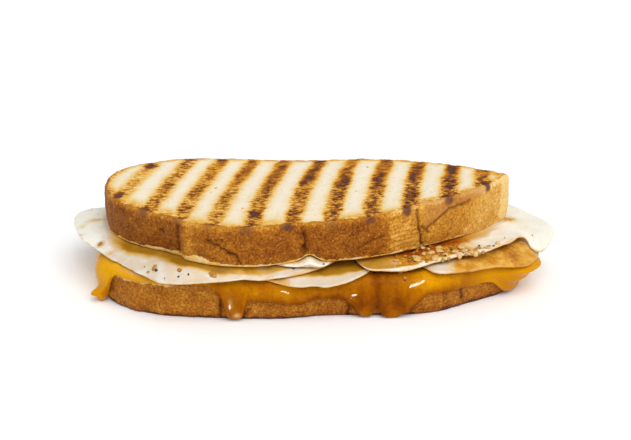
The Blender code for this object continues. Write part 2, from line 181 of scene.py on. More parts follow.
def noise(points, size, seed=0):
    """Smooth noise from about -1 to 1, with features about this size."""
    p = points / np.asarray(size, float) + 17.31 * seed
    cell = np.floor(p).astype(np.int64)
    f = p - cell
    w = f**3 * (f * (f * 6 - 15) + 10)
    total = np.zeros(len(p))
    for corner in itertools.product((0, 1), repeat=3):
        h = hashed(cell + corner)
        share = np.prod(np.where(corner, w, 1 - w), axis=1)
        total += share * ((f - corner) * SLOPES[h]).sum(axis=1)
    return 1.6 * total


def rough(points, size, octaves, seed=0):
    """Noise with finer and fainter noise laid over it."""
    return sum(noise(points, np.asarray(size) / 2**k, seed + k) / 2**k for k in range(octaves))


def pits(points, size, seed=0):
    """Distance to the nearest of many scattered spots, in units of size, and that spot's own number."""
    p = points / size + 5.17 * seed
    cell = np.floor(p).astype(np.int64)
    best, own = np.full(len(p), 9.0), np.zeros(len(p))
    for corner in itertools.product((-1, 0, 1), repeat=3):
        spot = SPOTS[hashed(cell + corner)]
        apart = np.linalg.norm(cell + corner + spot[:, :3] - p, axis=1)
        own = np.where(apart < best, spot[:, 3], own)
        best = np.minimum(best, apart)
    return best, own


# ---- curves
def closed_curve(points, count):
    """A smooth closed curve through the points, cut into even steps and running anticlockwise."""
    p = np.array(points, float)
    ahead = np.roll(p, -1, axis=0)
    knots = np.sqrt(np.linalg.norm((ahead - p)[:, :2], axis=1))
    before = np.roll(knots, 1)
    slope_in, slope_out = (p - np.roll(p, 1, axis=0)) / before[:, None], (ahead - p) / knots[:, None]
    tangent = (slope_in * knots[:, None] + slope_out * before[:, None]) / (knots + before)[:, None]
    leaving, arriving = knots[:, None] * tangent, knots[:, None] * np.roll(tangent, -1, axis=0)
    fine = []
    for t in np.linspace(0, 1, 24, endpoint=False):
        h = (2 * t**3 - 3 * t**2 + 1, t**3 - 2 * t**2 + t, -2 * t**3 + 3 * t**2, t**3 - t**2)
        fine.append(h[0] * p + h[1] * leaving + h[2] * ahead + h[3] * arriving)
    curve = np.stack(fine, axis=1).reshape(-1, p.shape[1])
    x, y = curve[:, 0], curve[:, 1]
    if np.sum(x * np.roll(y, -1) - y * np.roll(x, -1)) < 0:
        curve = curve[::-1]
    loop = np.vstack([curve, curve[:1]])
    along = np.concatenate([[0], np.cumsum(np.linalg.norm(np.diff(loop[:, :2], axis=0), axis=1))])
    count = count or round(along[-1] / FINE_RIM)
    at = np.linspace(0, along[-1], count, endpoint=False)
    return np.stack([np.interp(at, along, loop[:, k]) for k in range(p.shape[1])], axis=1)


def circular(values, reach):
    """A moving average round a loop."""
    return sum(np.roll(values, k, axis=0) for k in range(-reach, reach + 1)) / (2 * reach + 1)


def outward(curve):
    """The outward direction at each point of an anticlockwise curve."""
    along = np.roll(curve, -2, axis=0)[:, :2] - np.roll(curve, 2, axis=0)[:, :2]
    out = circular(np.stack([along[:, 1], -along[:, 0]], axis=1), 2)
    return out / np.linalg.norm(out, axis=1)[:, None]


def tightness(curve, reach):
    """How far in a point may move, from 0 to 1 of this reach, before it crosses its neighbours."""
    out = outward(curve)
    step = np.linalg.norm(np.roll(curve, -1, axis=0)[:, :2] - curve[:, :2], axis=1)
    turned = np.linalg.norm(np.roll(out, -1, axis=0) - out, axis=1)
    share = np.clip(0.8 * step / (turned + 1e-9) / reach, 0.1, 1)
    low = np.min([np.roll(share, k) for k in range(-4, 5)], axis=0)
    return circular(low, 4)


def ease(t):
    t = np.clip(t, 0, 1)
    return t * t * (3 - 2 * t)


def bell(t):
    return np.exp(-(t**2))


def inside(points, loop):
    """Whether each point lies inside the loop."""
    found = []
    a, b = loop[:, :2], np.roll(loop[:, :2], -1, axis=0)
    for part in np.array_split(points, max(1, len(points) // 4000)):
        x, y = part[:, 0, None], part[:, 1, None]
        spans = (a[:, 1] > y) != (b[:, 1] > y)
        with np.errstate(divide="ignore", invalid="ignore"):
            crossing = a[:, 0] + (y - a[:, 1]) * (b[:, 0] - a[:, 0]) / (b[:, 1] - a[:, 1])
        found.append((spans & (x < crossing)).sum(axis=1) % 2 == 1)
    return np.concatenate(found)


def nearest(points, loop):
    """Distance from each point to the loop, and the index of its nearest corner."""
    apart, index = [], []
    ahead = np.roll(loop[:, :2], -1, axis=0)
    for part in np.array_split(points, max(1, len(points) // 4000)):
        far = np.linalg.norm(part[:, None, :2] - loop[None, :, :2], axis=2)
        at = far.argmin(axis=1)
        best = far.min(axis=1)
        for a, b in ((loop[at, :2], ahead[at]), (loop[at - 1, :2], loop[at, :2])):
            along = b - a
            t = ((part[:, :2] - a) * along).sum(axis=1) / np.maximum((along**2).sum(axis=1), 1e-9)
            foot = a + np.clip(t, 0, 1)[:, None] * along
            best = np.minimum(best, np.linalg.norm(part[:, :2] - foot, axis=1))
        apart.append(best)
        index.append(at)
    return np.concatenate(apart), np.concatenate(index)


def filled(loop, spacing, clear=0.62):
    """Staggered points that fill the loop, clear of its edge."""
    low, high = loop[:, :2].min(axis=0), loop[:, :2].max(axis=0)
    rows = []
    for k, y in enumerate(np.arange(low[1], high[1], spacing * math.sqrt(3) / 2)):
        x = np.arange(low[0] + (k % 2) * spacing / 2, high[0], spacing)
        rows.append(np.stack([x, np.full_like(x, y)], axis=1))
    points = np.concatenate(rows)
    points = points[inside(points, loop)]
    return points[nearest(points, loop)[0] > clear * spacing]


def graded(loop, depth, fine=FINE, coarse=COARSE):
    """Points that fill the loop, fine down to this depth from its edge and coarse further in."""
    near = filled(loop, fine)
    near = near[nearest(near, loop)[0] < depth]
    middling = filled(loop, 2 * fine)
    apart = nearest(middling, loop)[0]
    middling = middling[(apart > depth + fine) & (apart < depth + 5 * fine)]
    far = filled(loop, coarse)
    far = far[nearest(far, loop)[0] > depth + 6 * fine + 0.3 * coarse]
    return np.vstack([near, middling, far])


# ---- meshes
def settle(points):
    """Bends the level layers into place: gently wavy, with the upper slice thicker towards +X."""
    x, y, z = points[:, 0], points[:, 1], points[:, 2]
    wave = np.sin(x / 19 + 0.6) * np.cos(y / 24 - 0.4) + 0.6 * np.sin(x / 11 - y / 17 + 1.9)
    rise = TOP_RISE * ease((x - RISE_FROM) / RISE_OVER)
    share = FILLING_SHARE * ease((z - LOWER_SLICE_HEIGHT) / (UPPER_SLICE_FLOOR - LOWER_SLICE_HEIGHT))
    share += (1 - FILLING_SHARE) * np.clip((z - UPPER_SLICE_FLOOR) / UPPER_SLICE_HEIGHT, 0, 1)
    lifted = z + WAVE_HEIGHT * wave * np.clip(z / LOWER_SLICE_HEIGHT, 0, 1) + rise * share
    return np.stack([x, y, lifted], axis=1)


def raised(points, height):
    return np.column_stack([points[:, :2], np.broadcast_to(height, len(points))])


def capped(ring, points):
    flat = [tuple(map(float, p)) for p in np.vstack([ring[:, :2], points[:, :2]])]
    found = delaunay_2d_cdt(flat, [], [list(range(len(ring)))], 1, 1e-7)
    return np.array([[found[3][i][0] for i in face] for face in found[2]])


def normals(points, faces):
    """The outward direction at each point of a mesh."""
    a, b, c = (points[faces[:, k]] for k in range(3))
    flat = np.cross(b - a, c - a)
    total = np.stack(
        [sum(np.bincount(faces[:, k], flat[:, j], len(points)) for k in range(3)) for j in range(3)], axis=1
    )
    return total / np.maximum(np.linalg.norm(total, axis=1), 1e-12)[:, None]


class Skin:
    """A closed mesh: the first ring is closed below, the last above, and the rest join them outside."""

    def __init__(self, rings, floor_points, roof_points):
        steps = len(rings[0])
        rows = list(rings) + [floor_points, roof_points]
        starts = np.cumsum([0] + [len(row) for row in rows])
        faces = []
        i = np.arange(steps)
        j = (i + 1) % steps
        for k in range(len(rings) - 1):
            low, high = starts[k], starts[k + 1]
            faces.append(np.stack([low + i, low + j, high + j], axis=1))
            faces.append(np.stack([low + i, high + j, high + i], axis=1))
        for ring, loose, flip in ((0, len(rings), True), (len(rings) - 1, len(rings) + 1, False)):
            names = np.concatenate(
                [np.arange(starts[ring], starts[ring] + steps), np.arange(starts[loose], starts[loose + 1])]
            )
            found = names[capped(rows[ring], rows[loose])]
            faces.append(found[:, ::-1] if flip else found)
        self.faces = np.concatenate(faces)
        self.level = np.vstack(rows)
        self.points = settle(self.level)
        self.ring_of = np.repeat(np.arange(len(rows)), [len(row) for row in rows])
        self.masks = {}

    def swell(self, amount):
        """Moves every point outwards by this amount."""
        self.points = self.points + normals(self.points, self.faces) * np.asarray(amount)[:, None]

    def make(self, name, look, slot, *nodes):
        """The finished object, which rides on the body and stands for these nodes."""
        mesh = bpy.data.meshes.new(name)
        corners = self.faces.reshape(-1).astype(np.int32)
        mesh.vertices.add(len(self.points))
        mesh.vertices.foreach_set("co", ((self.points - SHIFT) * MM).astype(np.float32).reshape(-1))
        mesh.loops.add(len(corners))
        mesh.loops.foreach_set("vertex_index", corners)
        mesh.polygons.add(len(self.faces))
        mesh.polygons.foreach_set("loop_start", np.arange(0, len(corners), 3, dtype=np.int32))
        mesh.polygons.foreach_set("use_smooth", np.ones(len(self.faces), bool))
        mesh.update(calc_edges=True)
        mesh.validate()
        for key, values in self.masks.items():
            mask = mesh.attributes.new(key, "FLOAT", "POINT")
            mask.data.foreach_set("value", np.clip(values, 0, 1).astype(np.float32))
        made = bpy.data.objects.new(name, mesh)
        made.data.materials.append(look)
        bpy.context.scene.collection.objects.link(made)
        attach(made, "root")
        if nodes:
            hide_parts(*nodes)
        return made


def near_path(x, h, path):
    """Distance from (x, h) to a path of straight pieces."""
    best = np.full(len(x), 99.0)
    for (ax, ah), (bx, bh) in zip(path, path[1:]):
        t = ((x - ax) * (bx - ax) + (h - ah) * (bh - ah)) / ((bx - ax) ** 2 + (bh - ah) ** 2)
        t = np.clip(t, 0, 1)
        best = np.minimum(best, np.hypot(x - ax - t * (bx - ax), h - ah - t * (bh - ah)))
    return best


# ---- bread
def level(points):
    return np.zeros(len(points))


def arched(points):
    """The lifted lip at the front of the upper slice."""
    station, half, height = ARCH
    near = bell((points[:, 0] - station) / half)
    return height * near * ease((-points[:, 1] - 24) / 12)


def slice_skin(outline, floor, height, rounding, underside, seam, top_depth):
    """A slice cut finely, with how far in and how high each of its points lies."""
    base = closed_curve(outline, None)
    curve = base + outward(base) * (0.35 * noise(raised(base, 0), 9, 3) + 0.18 * noise(raised(base, 0), 3.5, 4))[:, None]
    out = outward(curve)
    r, cut = rounding, CUT_ROUNDING
    tight = tightness(curve, r)[:, None]
    turn = np.radians(np.linspace(0, 90, 6))
    rows = [(cut * (1 - math.sin(a)), cut * (1 - math.cos(a))) for a in turn]
    rows += [(0.0, rise) for rise in np.arange(cut + 0.45, height - r - 0.2, 0.5)]
    rows += [(r * (1 - math.sin(a)), height - r * (1 - math.cos(a))) for a in turn[::-1]]
    rings, insets, rises = [], [], []
    for inset, rise in rows:
        swell = CRUST_BULGE * (1 - (2 * rise / height - 1) ** 2)
        ring = curve[:, :2] + out * (swell - inset * tight)
        if seam:
            station, half, depth = seam
            step = depth * (1 - ease((ring[:, 0] - station + half) / (2 * half)))
            fade = np.exp(-np.clip(station - ring[:, 0], 0, None) / 14) * (1 - ease(rise / height - 0.25))
            ring[:, 1] += step * fade * (ring[:, 1] < 0)
        rings.append(raised(ring, floor + rise + underside(ring) * (1 - rise / height)))
        insets.append(inset * tight[:, 0])
        rises.append(np.full(len(ring), rise))
    below = graded(rings[0], 2.0, 1.2)
    above = graded(rings[-1], top_depth)
    skin = Skin(rings, raised(below, floor + underside(below)), raised(above, floor + height))
    for points, rise in ((below, 0.0), (above, height)):
        insets.append(nearest(points, curve)[0])
        rises.append(np.full(len(points), rise))
    skin.inset, skin.rise = np.concatenate(insets), np.concatenate(rises)
    return skin


# ---- cheese
def side_path(run):
    """A run along the lower slice's section from its flat top: outward offset, height and facing angle."""
    r, quarter = CRUST_ROUNDING, CRUST_ROUNDING * math.pi / 2
    turn = np.clip(run, 0, quarter) / r
    offset = -r * (1 - np.sin(turn)) + np.minimum(run, 0)
    height = LOWER_SLICE_HEIGHT - r * (1 - np.cos(turn)) - np.maximum(run - quarter, 0)
    swell = CRUST_BULGE * (1 - (2 * height / LOWER_SLICE_HEIGHT - 1) ** 2)
    return offset + swell, height, turn


def run_to_hang(hang):
    """The run along the section that reaches this far below the slice's top."""
    r = CRUST_ROUNDING
    around = r * np.arccos(np.clip(1 - hang / r, 0, 1))
    return np.where(hang < r, around, r * math.pi / 2 + hang - r)


def cheese_edge(curve):
    """Hang, then thickness over the bend, half way down and at the lip, round the slice's outline."""
    x = curve[:, 0]
    spread = ease((x - SPREAD_FROM) / SPREAD_OVER)
    sides = []
    for drips, (near, far) in ((FRONT_DRIPS, (0, 1)), (BACK_DRIPS, (2, 2))):
        hang = PLAIN_HANG[near] + (PLAIN_HANG[far] - PLAIN_HANG[near]) * spread
        upper = PLAIN_THICKNESS[near] + (PLAIN_THICKNESS[far] - PLAIN_THICKNESS[near]) * spread
        lip = 0.9 * upper
        for station, half, reach, gained in drips:
            bump = np.exp(-(((x - station) / half) ** 6))
            hang = hang + (reach - hang) * bump
            lip = lip + gained * bump
        sides.append((hang, upper, lip))
    front = ease((6 - curve[:, 1]) / 12)
    hang, upper, lip = (front * a + (1 - front) * b for a, b in zip(*sides))
    hang = np.minimum(hang, LOWER_SLICE_HEIGHT - CHEESE_CLEAR_OF_FLOOR)
    upper = upper + sum(gained * ease((x - start) / over) for start, over, gained in LOBES)
    station, half, gained = BULGE
    bulge = gained * bell((curve[:, 1] - station) / half) * ease((x - 68) / 8)
    return hang, upper + bulge, 0.65 * upper + 0.35 * lip + 0.3 * bulge, lip


def cheese_skin():
    """The melted cheese cut finely: it lies on the lower slice and hangs over its edge."""
    curve = closed_curve(LOWER_SLICE, None)
    steps = len(curve)
    out = outward(curve)
    flat_curve = raised(curve, 0)
    hang, upper, middle, lip = cheese_edge(curve)
    x, front = curve[:, 0], ease((6 - curve[:, 1]) / 12)
    wavy = (0.9 * noise(flat_curve, 7, 21) + 0.5 * noise(flat_curve, 2.6, 22)) * ease((hang - 1) / 4)
    hang = hang + wavy * (1 - 0.85 * ease((x - 58) / 6))
    hang = hang - front * (2.6 * bell((x - 24.9) / 1.7) + 1.3 * bell((x - 34.5) / 2.2))
    lip = lip * (1 - 0.45 * front * bell((x + 3) / 20)) - 0.5 * front * bell((x - 24.9) / 2.2)
    x, y, half, reach = LEFT_FOOT
    near = bell(np.hypot(curve[:, 0] - x, curve[:, 1] - y) / (0.85 * half))
    foot = reach * near
    leg = 1.0 * bell(np.hypot(curve[:, 0] - x - 1, curve[:, 1] - y - 3) / (1.5 * half))
    deepest = LOWER_SLICE_HEIGHT - CHEESE_CLEAR_OF_FLOOR
    hang = np.minimum(hang + (deepest - hang) * near, deepest)
    end = run_to_hang(hang)
    quarter = CRUST_ROUNDING * math.pi / 2

    def ring(run, share, thickness):
        offset, height, turn = side_path(run)
        side = ease((run - 0.35 * quarter) / (0.95 * quarter))
        stand = GAP + share * (thickness * side + CHEESE_ON_TOP * (1 - side))
        place = curve[:, :2] + out * (offset + stand * np.sin(turn))[:, None]
        return raised(place, height + stand * np.cos(turn))

    bend = np.minimum(end, quarter)
    inner = [np.full(steps, v) for v in (-4.0, -1.5)] + [bend * f for f in (0.0, 0.35, 0.7, 1.0)]
    inner += [bend + (end - bend) * f for f in (0.3, 0.6, 0.9)]
    thick = [(0.0, lip), (0.12, lip), (0.42, middle), (0.76, upper), (1.0, upper)]
    tip = np.minimum(0.45 * (lip + foot), 0.4 * end)
    rows = [ring(run, 0.0, upper) for run in inner]
    for a in np.radians((25, 55, 90, 125, 155)):
        rows.append(ring(end - tip * (1 - math.sin(a)), (1 - math.cos(a)) / 2, lip + foot * (1 + 0.4 * math.cos(a))))
    start, span = end - tip, end - tip
    for k in range(0, 30):
        share = k / 29
        run = start - span * share
        body = np.zeros(steps)
        for (f0, t0), (f1, t1) in zip(thick, thick[1:]):
            if f0 <= share <= f1:
                body = t0 + (t1 - t0) * ease((share - f0) / (f1 - f0)) 
                body += foot * bell(share / 0.16) + leg * ease(share / 0.2) * ease((1 - share) / 0.25)
        rows.append(ring(run, 1.0, body))
    rows += [ring(np.full(steps, -v), 1.0, upper) for v in (0.5, 1.0, 1.6, 2.3, 3.1, 4.0)]
    low = LOWER_SLICE_HEIGHT + GAP
    below, above = graded(rows[0], 0.5, 2.0, 5.0), graded(rows[-1], 4.0, 0.9, 4.0)
    skin = Skin(rows, raised(below, low), raised(above, low + CHEESE_ON_TOP))
    count = len(rows)
    skin.outer = (skin.ring_of > len(inner)) & (skin.ring_of != count)
    skin.hang = np.concatenate([np.tile(hang, count), np.zeros(len(below) + len(above))])
    return skin


# ---- omelette
def sheet_skin(outline, base, thickness, seed, ragged=0.35, depth=SEEN_DEPTH):
    """A thin sheet cut finely, with a rim that droops below base(points), and how far in each point lies."""
    smooth = closed_curve(outline, None)
    rim = smooth.copy()
    wobble = ragged * (noise(raised(rim, 0), 6.5, seed) + 0.5 * noise(raised(rim, 0), 2.2, seed + 1))
    rim[:, :2] += outward(smooth) * wobble[:, None]
    out = outward(rim)
    tight = tightness(rim, 1.4)[:, None]
    sparse = smooth[::4]

    def middle(points, apart):
        droop = []
        for part in np.array_split(points, max(1, len(points) // 4000)):
            far = np.linalg.norm(part[:, None, :2] - sparse[None, :, :2], axis=2)
            weight = 1 / (far**2 + 4.0) ** 2
            droop.append((weight * sparse[:, 2]).sum(axis=1) / weight.sum(axis=1))
        return base(points) - np.concatenate(droop) * np.exp(-((apart / SHEET_BEND) ** 2))

    insets = ((1.4, -1), (0.8, -0.96), (0.4, -0.85), (0.12, -0.6), (0.0, -0.2), (0.0, 0.2), (0.12, 0.6),
              (0.4, 0.85), (0.8, 0.96), (1.4, 1))
    rings, ins = [], []
    for inset, share in insets:
        place = rim[:, :2] - out * inset * tight
        rings.append(raised(place, middle(place, inset * tight[:, 0]) + share * thickness(place) / 2))
        ins.append(np.full(len(place), inset))
    loose = graded(rings[0], depth)
    apart = nearest(loose, rim)[0]
    centre = middle(loose, apart)
    half = thickness(loose) / 2
    skin = Skin(rings, raised(loose, centre - half), raised(loose, centre + half))
    skin.inset = np.concatenate([*ins, apart, apart])
    skin.top = np.isin(skin.ring_of, (5, 6, 7, 8, 9, 11))
    return skin


def even(points):
    return np.full(len(points), SHEET_THICKNESS)


def folded(points):
    """The narrow fold under the upper slice, fattest where it lifts the slice's lip."""
    station, half, height = ARCH
    near = bell((points[:, 0] - station) / (0.8 * half))
    return FOLD_THICKNESS + 0.75 * height * near * ease((-points[:, 1] - 28) / 10)


LAYER_LOW = LOWER_SLICE_HEIGHT + GAP + CHEESE_ON_TOP + GAP + SHEET_THICKNESS / 2 + 0.1
LAYER_HIGH = LAYER_LOW + SHEET_THICKNESS + GAP + 0.15


def low_layer(points):
    return np.full(len(points), LAYER_LOW)


def high_layer(points):
    """The upper sheets, which rise to the upper slice on both sides of the narrow fold."""
    left = ease((-FOLD_SPAN - 1 - points[:, 0]) / 9)
    right = ease((points[:, 0] - 24) / 20)
    return LAYER_HIGH + (UPPER_SLICE_FLOOR - 0.55 - SHEET_THICKNESS / 2 - LAYER_HIGH) * left + 1.25 * right


def fold_layer(points):
    return LAYER_HIGH + SHEET_THICKNESS / 2 + GAP + folded(points) / 2


def laid_out():
    """Where the frame's solids lie against the level layout above."""
    low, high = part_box("bread_bottom")
    curve = closed_curve(LOWER_SLICE, 400)
    curve = curve + outward(curve) * CRUST_BULGE
    middle = (curve.min(axis=0) + curve.max(axis=0)) / 2
    return np.array([middle[0] - (low.x + high.x) / 2 / MM, middle[1] - (low.y + high.y) / 2 / MM, 0.0])


SHIFT = laid_out()


# ---- materials
def tint(red, green, blue):
    """A colour given as 0 to 255 on screen, in the linear values that nodes take."""
    return tuple(((v / 255 + 0.055) / 1.055) ** 2.4 if v > 10 else v / 255 / 12.92 for v in (red, green, blue)) + (1.0,)


class Look:
    """One node material around a Principled shader."""

    def __init__(self, name, roughness, **settings):
        self.material = bpy.data.materials.new(name)
        self.material.use_nodes = True
        self.tree = self.material.node_tree
        self.shader = self.tree.nodes["Principled BSDF"]
        self.shader.inputs["Roughness"].default_value = roughness
        for key, value in settings.items():
            self.shader.inputs[key.replace("_", " ")].default_value = value
        self.place = self.tree.nodes.new("ShaderNodeTexCoord").outputs["Object"]

    def plug(self, socket, value):
        if isinstance(value, bpy.types.NodeSocket):
            self.tree.links.new(value, socket)
        elif value is not None:
            socket.default_value = value

    def mask(self, name):
        node = self.tree.nodes.new("ShaderNodeAttribute")
        node.attribute_name = name
        return node.outputs["Fac"]

    def maths(self, kind, a, b=None, clamp=False):
        node = self.tree.nodes.new("ShaderNodeMath")
        node.operation = kind
        node.use_clamp = clamp
        self.plug(node.inputs[0], a)
        self.plug(node.inputs[1], b)
        return node.outputs[0]

    def span(self, value, low, high, to_low=0.0, to_high=1.0):
        node = self.tree.nodes.new("ShaderNodeMapRange")
        node.interpolation_type = "SMOOTHSTEP"
        for key, number in (("From Min", low), ("From Max", high), ("To Min", to_low), ("To Max", to_high)):
            node.inputs[key].default_value = number
        self.plug(node.inputs["Value"], value)
        return node.outputs["Result"]

    def grain(self, size, detail=3.0, roughness=0.55, stretch=(1, 1, 1), distortion=0.0):
        """Noise with features about this many millimetres across, 0 to 1."""
        turn = self.tree.nodes.new("ShaderNodeMapping")
        turn.inputs["Scale"].default_value = [1 / s for s in stretch]
        self.tree.links.new(self.place, turn.inputs["Vector"])
        node = self.tree.nodes.new("ShaderNodeTexNoise")
        node.inputs["Scale"].default_value = 1 / (size * MM)
        node.inputs["Detail"].default_value = detail
        node.inputs["Roughness"].default_value = roughness
        node.inputs["Distortion"].default_value = distortion
        self.tree.links.new(turn.outputs["Vector"], node.inputs["Vector"])
        return node.outputs["Fac"]

    def cells(self, size, stretch=(1, 1, 1)):
        turn = self.tree.nodes.new("ShaderNodeMapping")
        turn.inputs["Scale"].default_value = [1 / s for s in stretch]
        self.tree.links.new(self.place, turn.inputs["Vector"])
        node = self.tree.nodes.new("ShaderNodeTexVoronoi")
        node.inputs["Scale"].default_value = 1 / (size * MM)
        self.tree.links.new(turn.outputs["Vector"], node.inputs["Vector"])
        return node.outputs["Distance"]

    def ramp(self, value, *stops):
        node = self.tree.nodes.new("ShaderNodeValToRGB")
        band = node.color_ramp
        while len(band.elements) < len(stops):
            band.elements.new(0.5)
        for element, (at, colour) in zip(band.elements, stops):
            element.position = at
            element.color = tint(*colour)
        self.plug(node.inputs[0], value)
        return node.outputs["Color"]

    def blend(self, share, a, b, kind="MIX"):
        node = self.tree.nodes.new("ShaderNodeMix")
        node.data_type = "RGBA"
        node.blend_type = kind
        self.plug(node.inputs["Factor"], share)
        self.plug(node.inputs["A"] if False else node.inputs[6], a)
        self.plug(node.inputs[7], b)
        return node.outputs[2]

    def swing(self, value, amount, middle=0.5):
        """A noise value turned into a swing of this size about zero."""
        return self.maths("MULTIPLY", self.maths("SUBTRACT", value, middle), amount)

    def add(self, *values):
        total = values[0]
        for value in values[1:]:
            total = self.maths("ADD", total, value)
        return total

    def times(self, *values):
        total = values[0]
        for value in values[1:]:
            total = self.maths("MULTIPLY", total, value)
        return total

    def finish(self, colour, relief=None, depth=0.1, roughness=None):
        """Plugs in the colour, a relief whose full swing is this many millimetres, and the roughness."""
        self.plug(self.shader.inputs["Base Color"], colour)
        if roughness is not None:
            self.plug(self.shader.inputs["Roughness"], roughness)
        if relief is not None:
            bump = self.tree.nodes.new("ShaderNodeBump")
            bump.inputs["Strength"].default_value = 1.0
            bump.inputs["Distance"].default_value = depth * MM
            self.plug(bump.inputs["Height"], relief)
            self.plug(self.shader.inputs["Normal"], bump.outputs["Normal"])
        return self.material


def toast_look():
    """Bread: pale crumb that browns with heat, and a grained brown crust round the side, with painted shade in its
    cracks.
    """
    look = Look("toast", 0.75, Specular_IOR_Level=0.2, Specular_Tint=(1.0, 0.62, 0.25, 1.0))
    crust, toasting, scorch = look.mask("crust"), look.mask("toasting"), look.mask("scorch")
    speckled = look.mask("speckled")
    speck = look.grain(1.35, 3.0, 0.62, (1.6, 1.0, 1.0))
    fleck = look.grain(0.45, 2.0, 0.6, (1.5, 1, 1))
    warm = look.add(
        toasting,
        look.times(look.span(toasting, 0.12, 0.5), look.swing(speck, 2.2), speckled),
        look.times(look.span(toasting, 0.15, 0.5), look.swing(fleck, 1.2), speckled),
        look.times(scorch, 0.45),
        look.times(look.span(toasting, 0.3, 0.6), look.swing(look.grain(3.4, 3.0), 0.8)),
    )
    warm = look.maths("MAXIMUM", warm, look.times(toasting, 0.48))
    crumb = look.ramp(
        warm, (0.0, (247, 236, 216)), (0.1, (244, 226, 186)), (0.23, (238, 190, 92)), (0.4, (216, 148, 42)),
        (0.58, (170, 100, 28)), (0.78, (112, 62, 34)), (1.0, (64, 36, 38)),
    )
    pore = look.span(look.cells(1.5, (1.3, 1, 1)), 0.05, 0.2)
    shade = look.blend(1.0, crumb, tint(222, 190, 140), "MULTIPLY")
    crumb = look.blend(look.maths("SUBTRACT", 1.0, pore), crumb, shade)
    mottle = look.grain(3.4, 5.0, 0.6)
    fine = look.grain(0.8, 3.0, 0.65)
    tone = look.add(
        look.mask("tone"), look.swing(mottle, 0.5), look.swing(fine, 1.0), look.swing(look.grain(13.0, 2.0), 0.25)
    )
    skin = look.ramp(
        tone, (0.0, (72, 34, 14)), (0.2, (116, 60, 17)), (0.4, (154, 88, 23)), (0.6, (188, 124, 38)),
        (0.8, (218, 160, 66)), (1.0, (240, 204, 134)),
    )
    skin = look.blend(look.times(look.mask("peach"), 0.5), skin, tint(184, 120, 66))
    dot = look.maths("SUBTRACT", 1.0, look.span(look.cells(1.9), 0.06, 0.17))
    skin = look.blend(look.times(dot, 0.6), skin, tint(226, 172, 96))
    patchy = look.times(look.span(scorch, 0.05, 0.4), look.add(look.swing(fine, 1.1), look.swing(mottle, 0.5)))
    burn = look.span(look.add(scorch, patchy), 0.15, 1.1)
    char = look.ramp(fine, (0.3, (62, 34, 34)), (0.7, (124, 76, 56)))
    skin, crumb = look.blend(burn, skin, char), look.blend(burn, crumb, char)
    edge = look.span(look.add(crust, look.swing(look.grain(1.6, 3.0), 0.5)), 0.25, 0.75)
    colour = look.blend(edge, crumb, skin)
    # painted shade: darkens the colour in the crust's cracks and gaps
    colour = look.blend(look.mask("dark"), colour, look.blend(1.0, colour, tint(112, 78, 60), "MULTIPLY"))
    relief = look.add(look.times(fine, 0.8), look.times(mottle, 0.5), look.times(pore, 0.3), look.times(speck, 0.35))
    return look.finish(colour, relief, 0.36, look.span(edge, 0, 1, 0.85, 0.62))


def cheese_look():
    """Melted cheese: deep ochre and glossy, yellower where it is thick and amber where it is thin, with painted
    highlights.
    """
    look = Look("melted_cheese", 0.3, Subsurface_Weight=0.2, Subsurface_Scale=0.002, Specular_Tint=(1.0, 0.78, 0.4, 1.0))
    look.shader.inputs["IOR"].default_value = 1.3
    look.shader.inputs["Specular IOR Level"].default_value = 0.2
    look.shader.inputs["Subsurface Radius"].default_value = (1.0, 0.42, 0.08)
    streak = look.grain(5.0, 4.0, 0.55, (1, 1, 2.0))
    small = look.grain(1.3, 3.0, 0.6)
    lively = look.maths("SUBTRACT", 1.0, look.mask("calm"))
    tone = look.add(
        look.mask("tone"), look.times(look.add(look.swing(streak, 0.5), look.swing(small, 0.3)), lively)
    )
    colour = look.ramp(
        tone, (0.0, (96, 42, 0)), (0.22, (136, 68, 0)), (0.45, (176, 104, 0)), (0.7, (212, 144, 0)),
        (0.88, (228, 164, 2)), (1.0, (236, 188, 60)),
    )
    colour = look.blend(look.mask("pale"), colour, tint(232, 192, 126))
    # painted highlights: small pale-cream glints painted into the colour
    painted_glint = look.span(look.add(look.mask("painted_glint"), look.times(look.mask("painted_glint"), look.swing(small, 1.2))), 0.3, 0.6)
    colour = look.blend(painted_glint, colour, tint(255, 236, 204))
    relief = look.times(look.add(look.times(streak, 0.8), look.times(small, 0.3)), lively)
    return look.finish(colour, relief, 0.42, look.span(look.grain(3.0, 2.0), 0.3, 0.7, 0.16, 0.4))


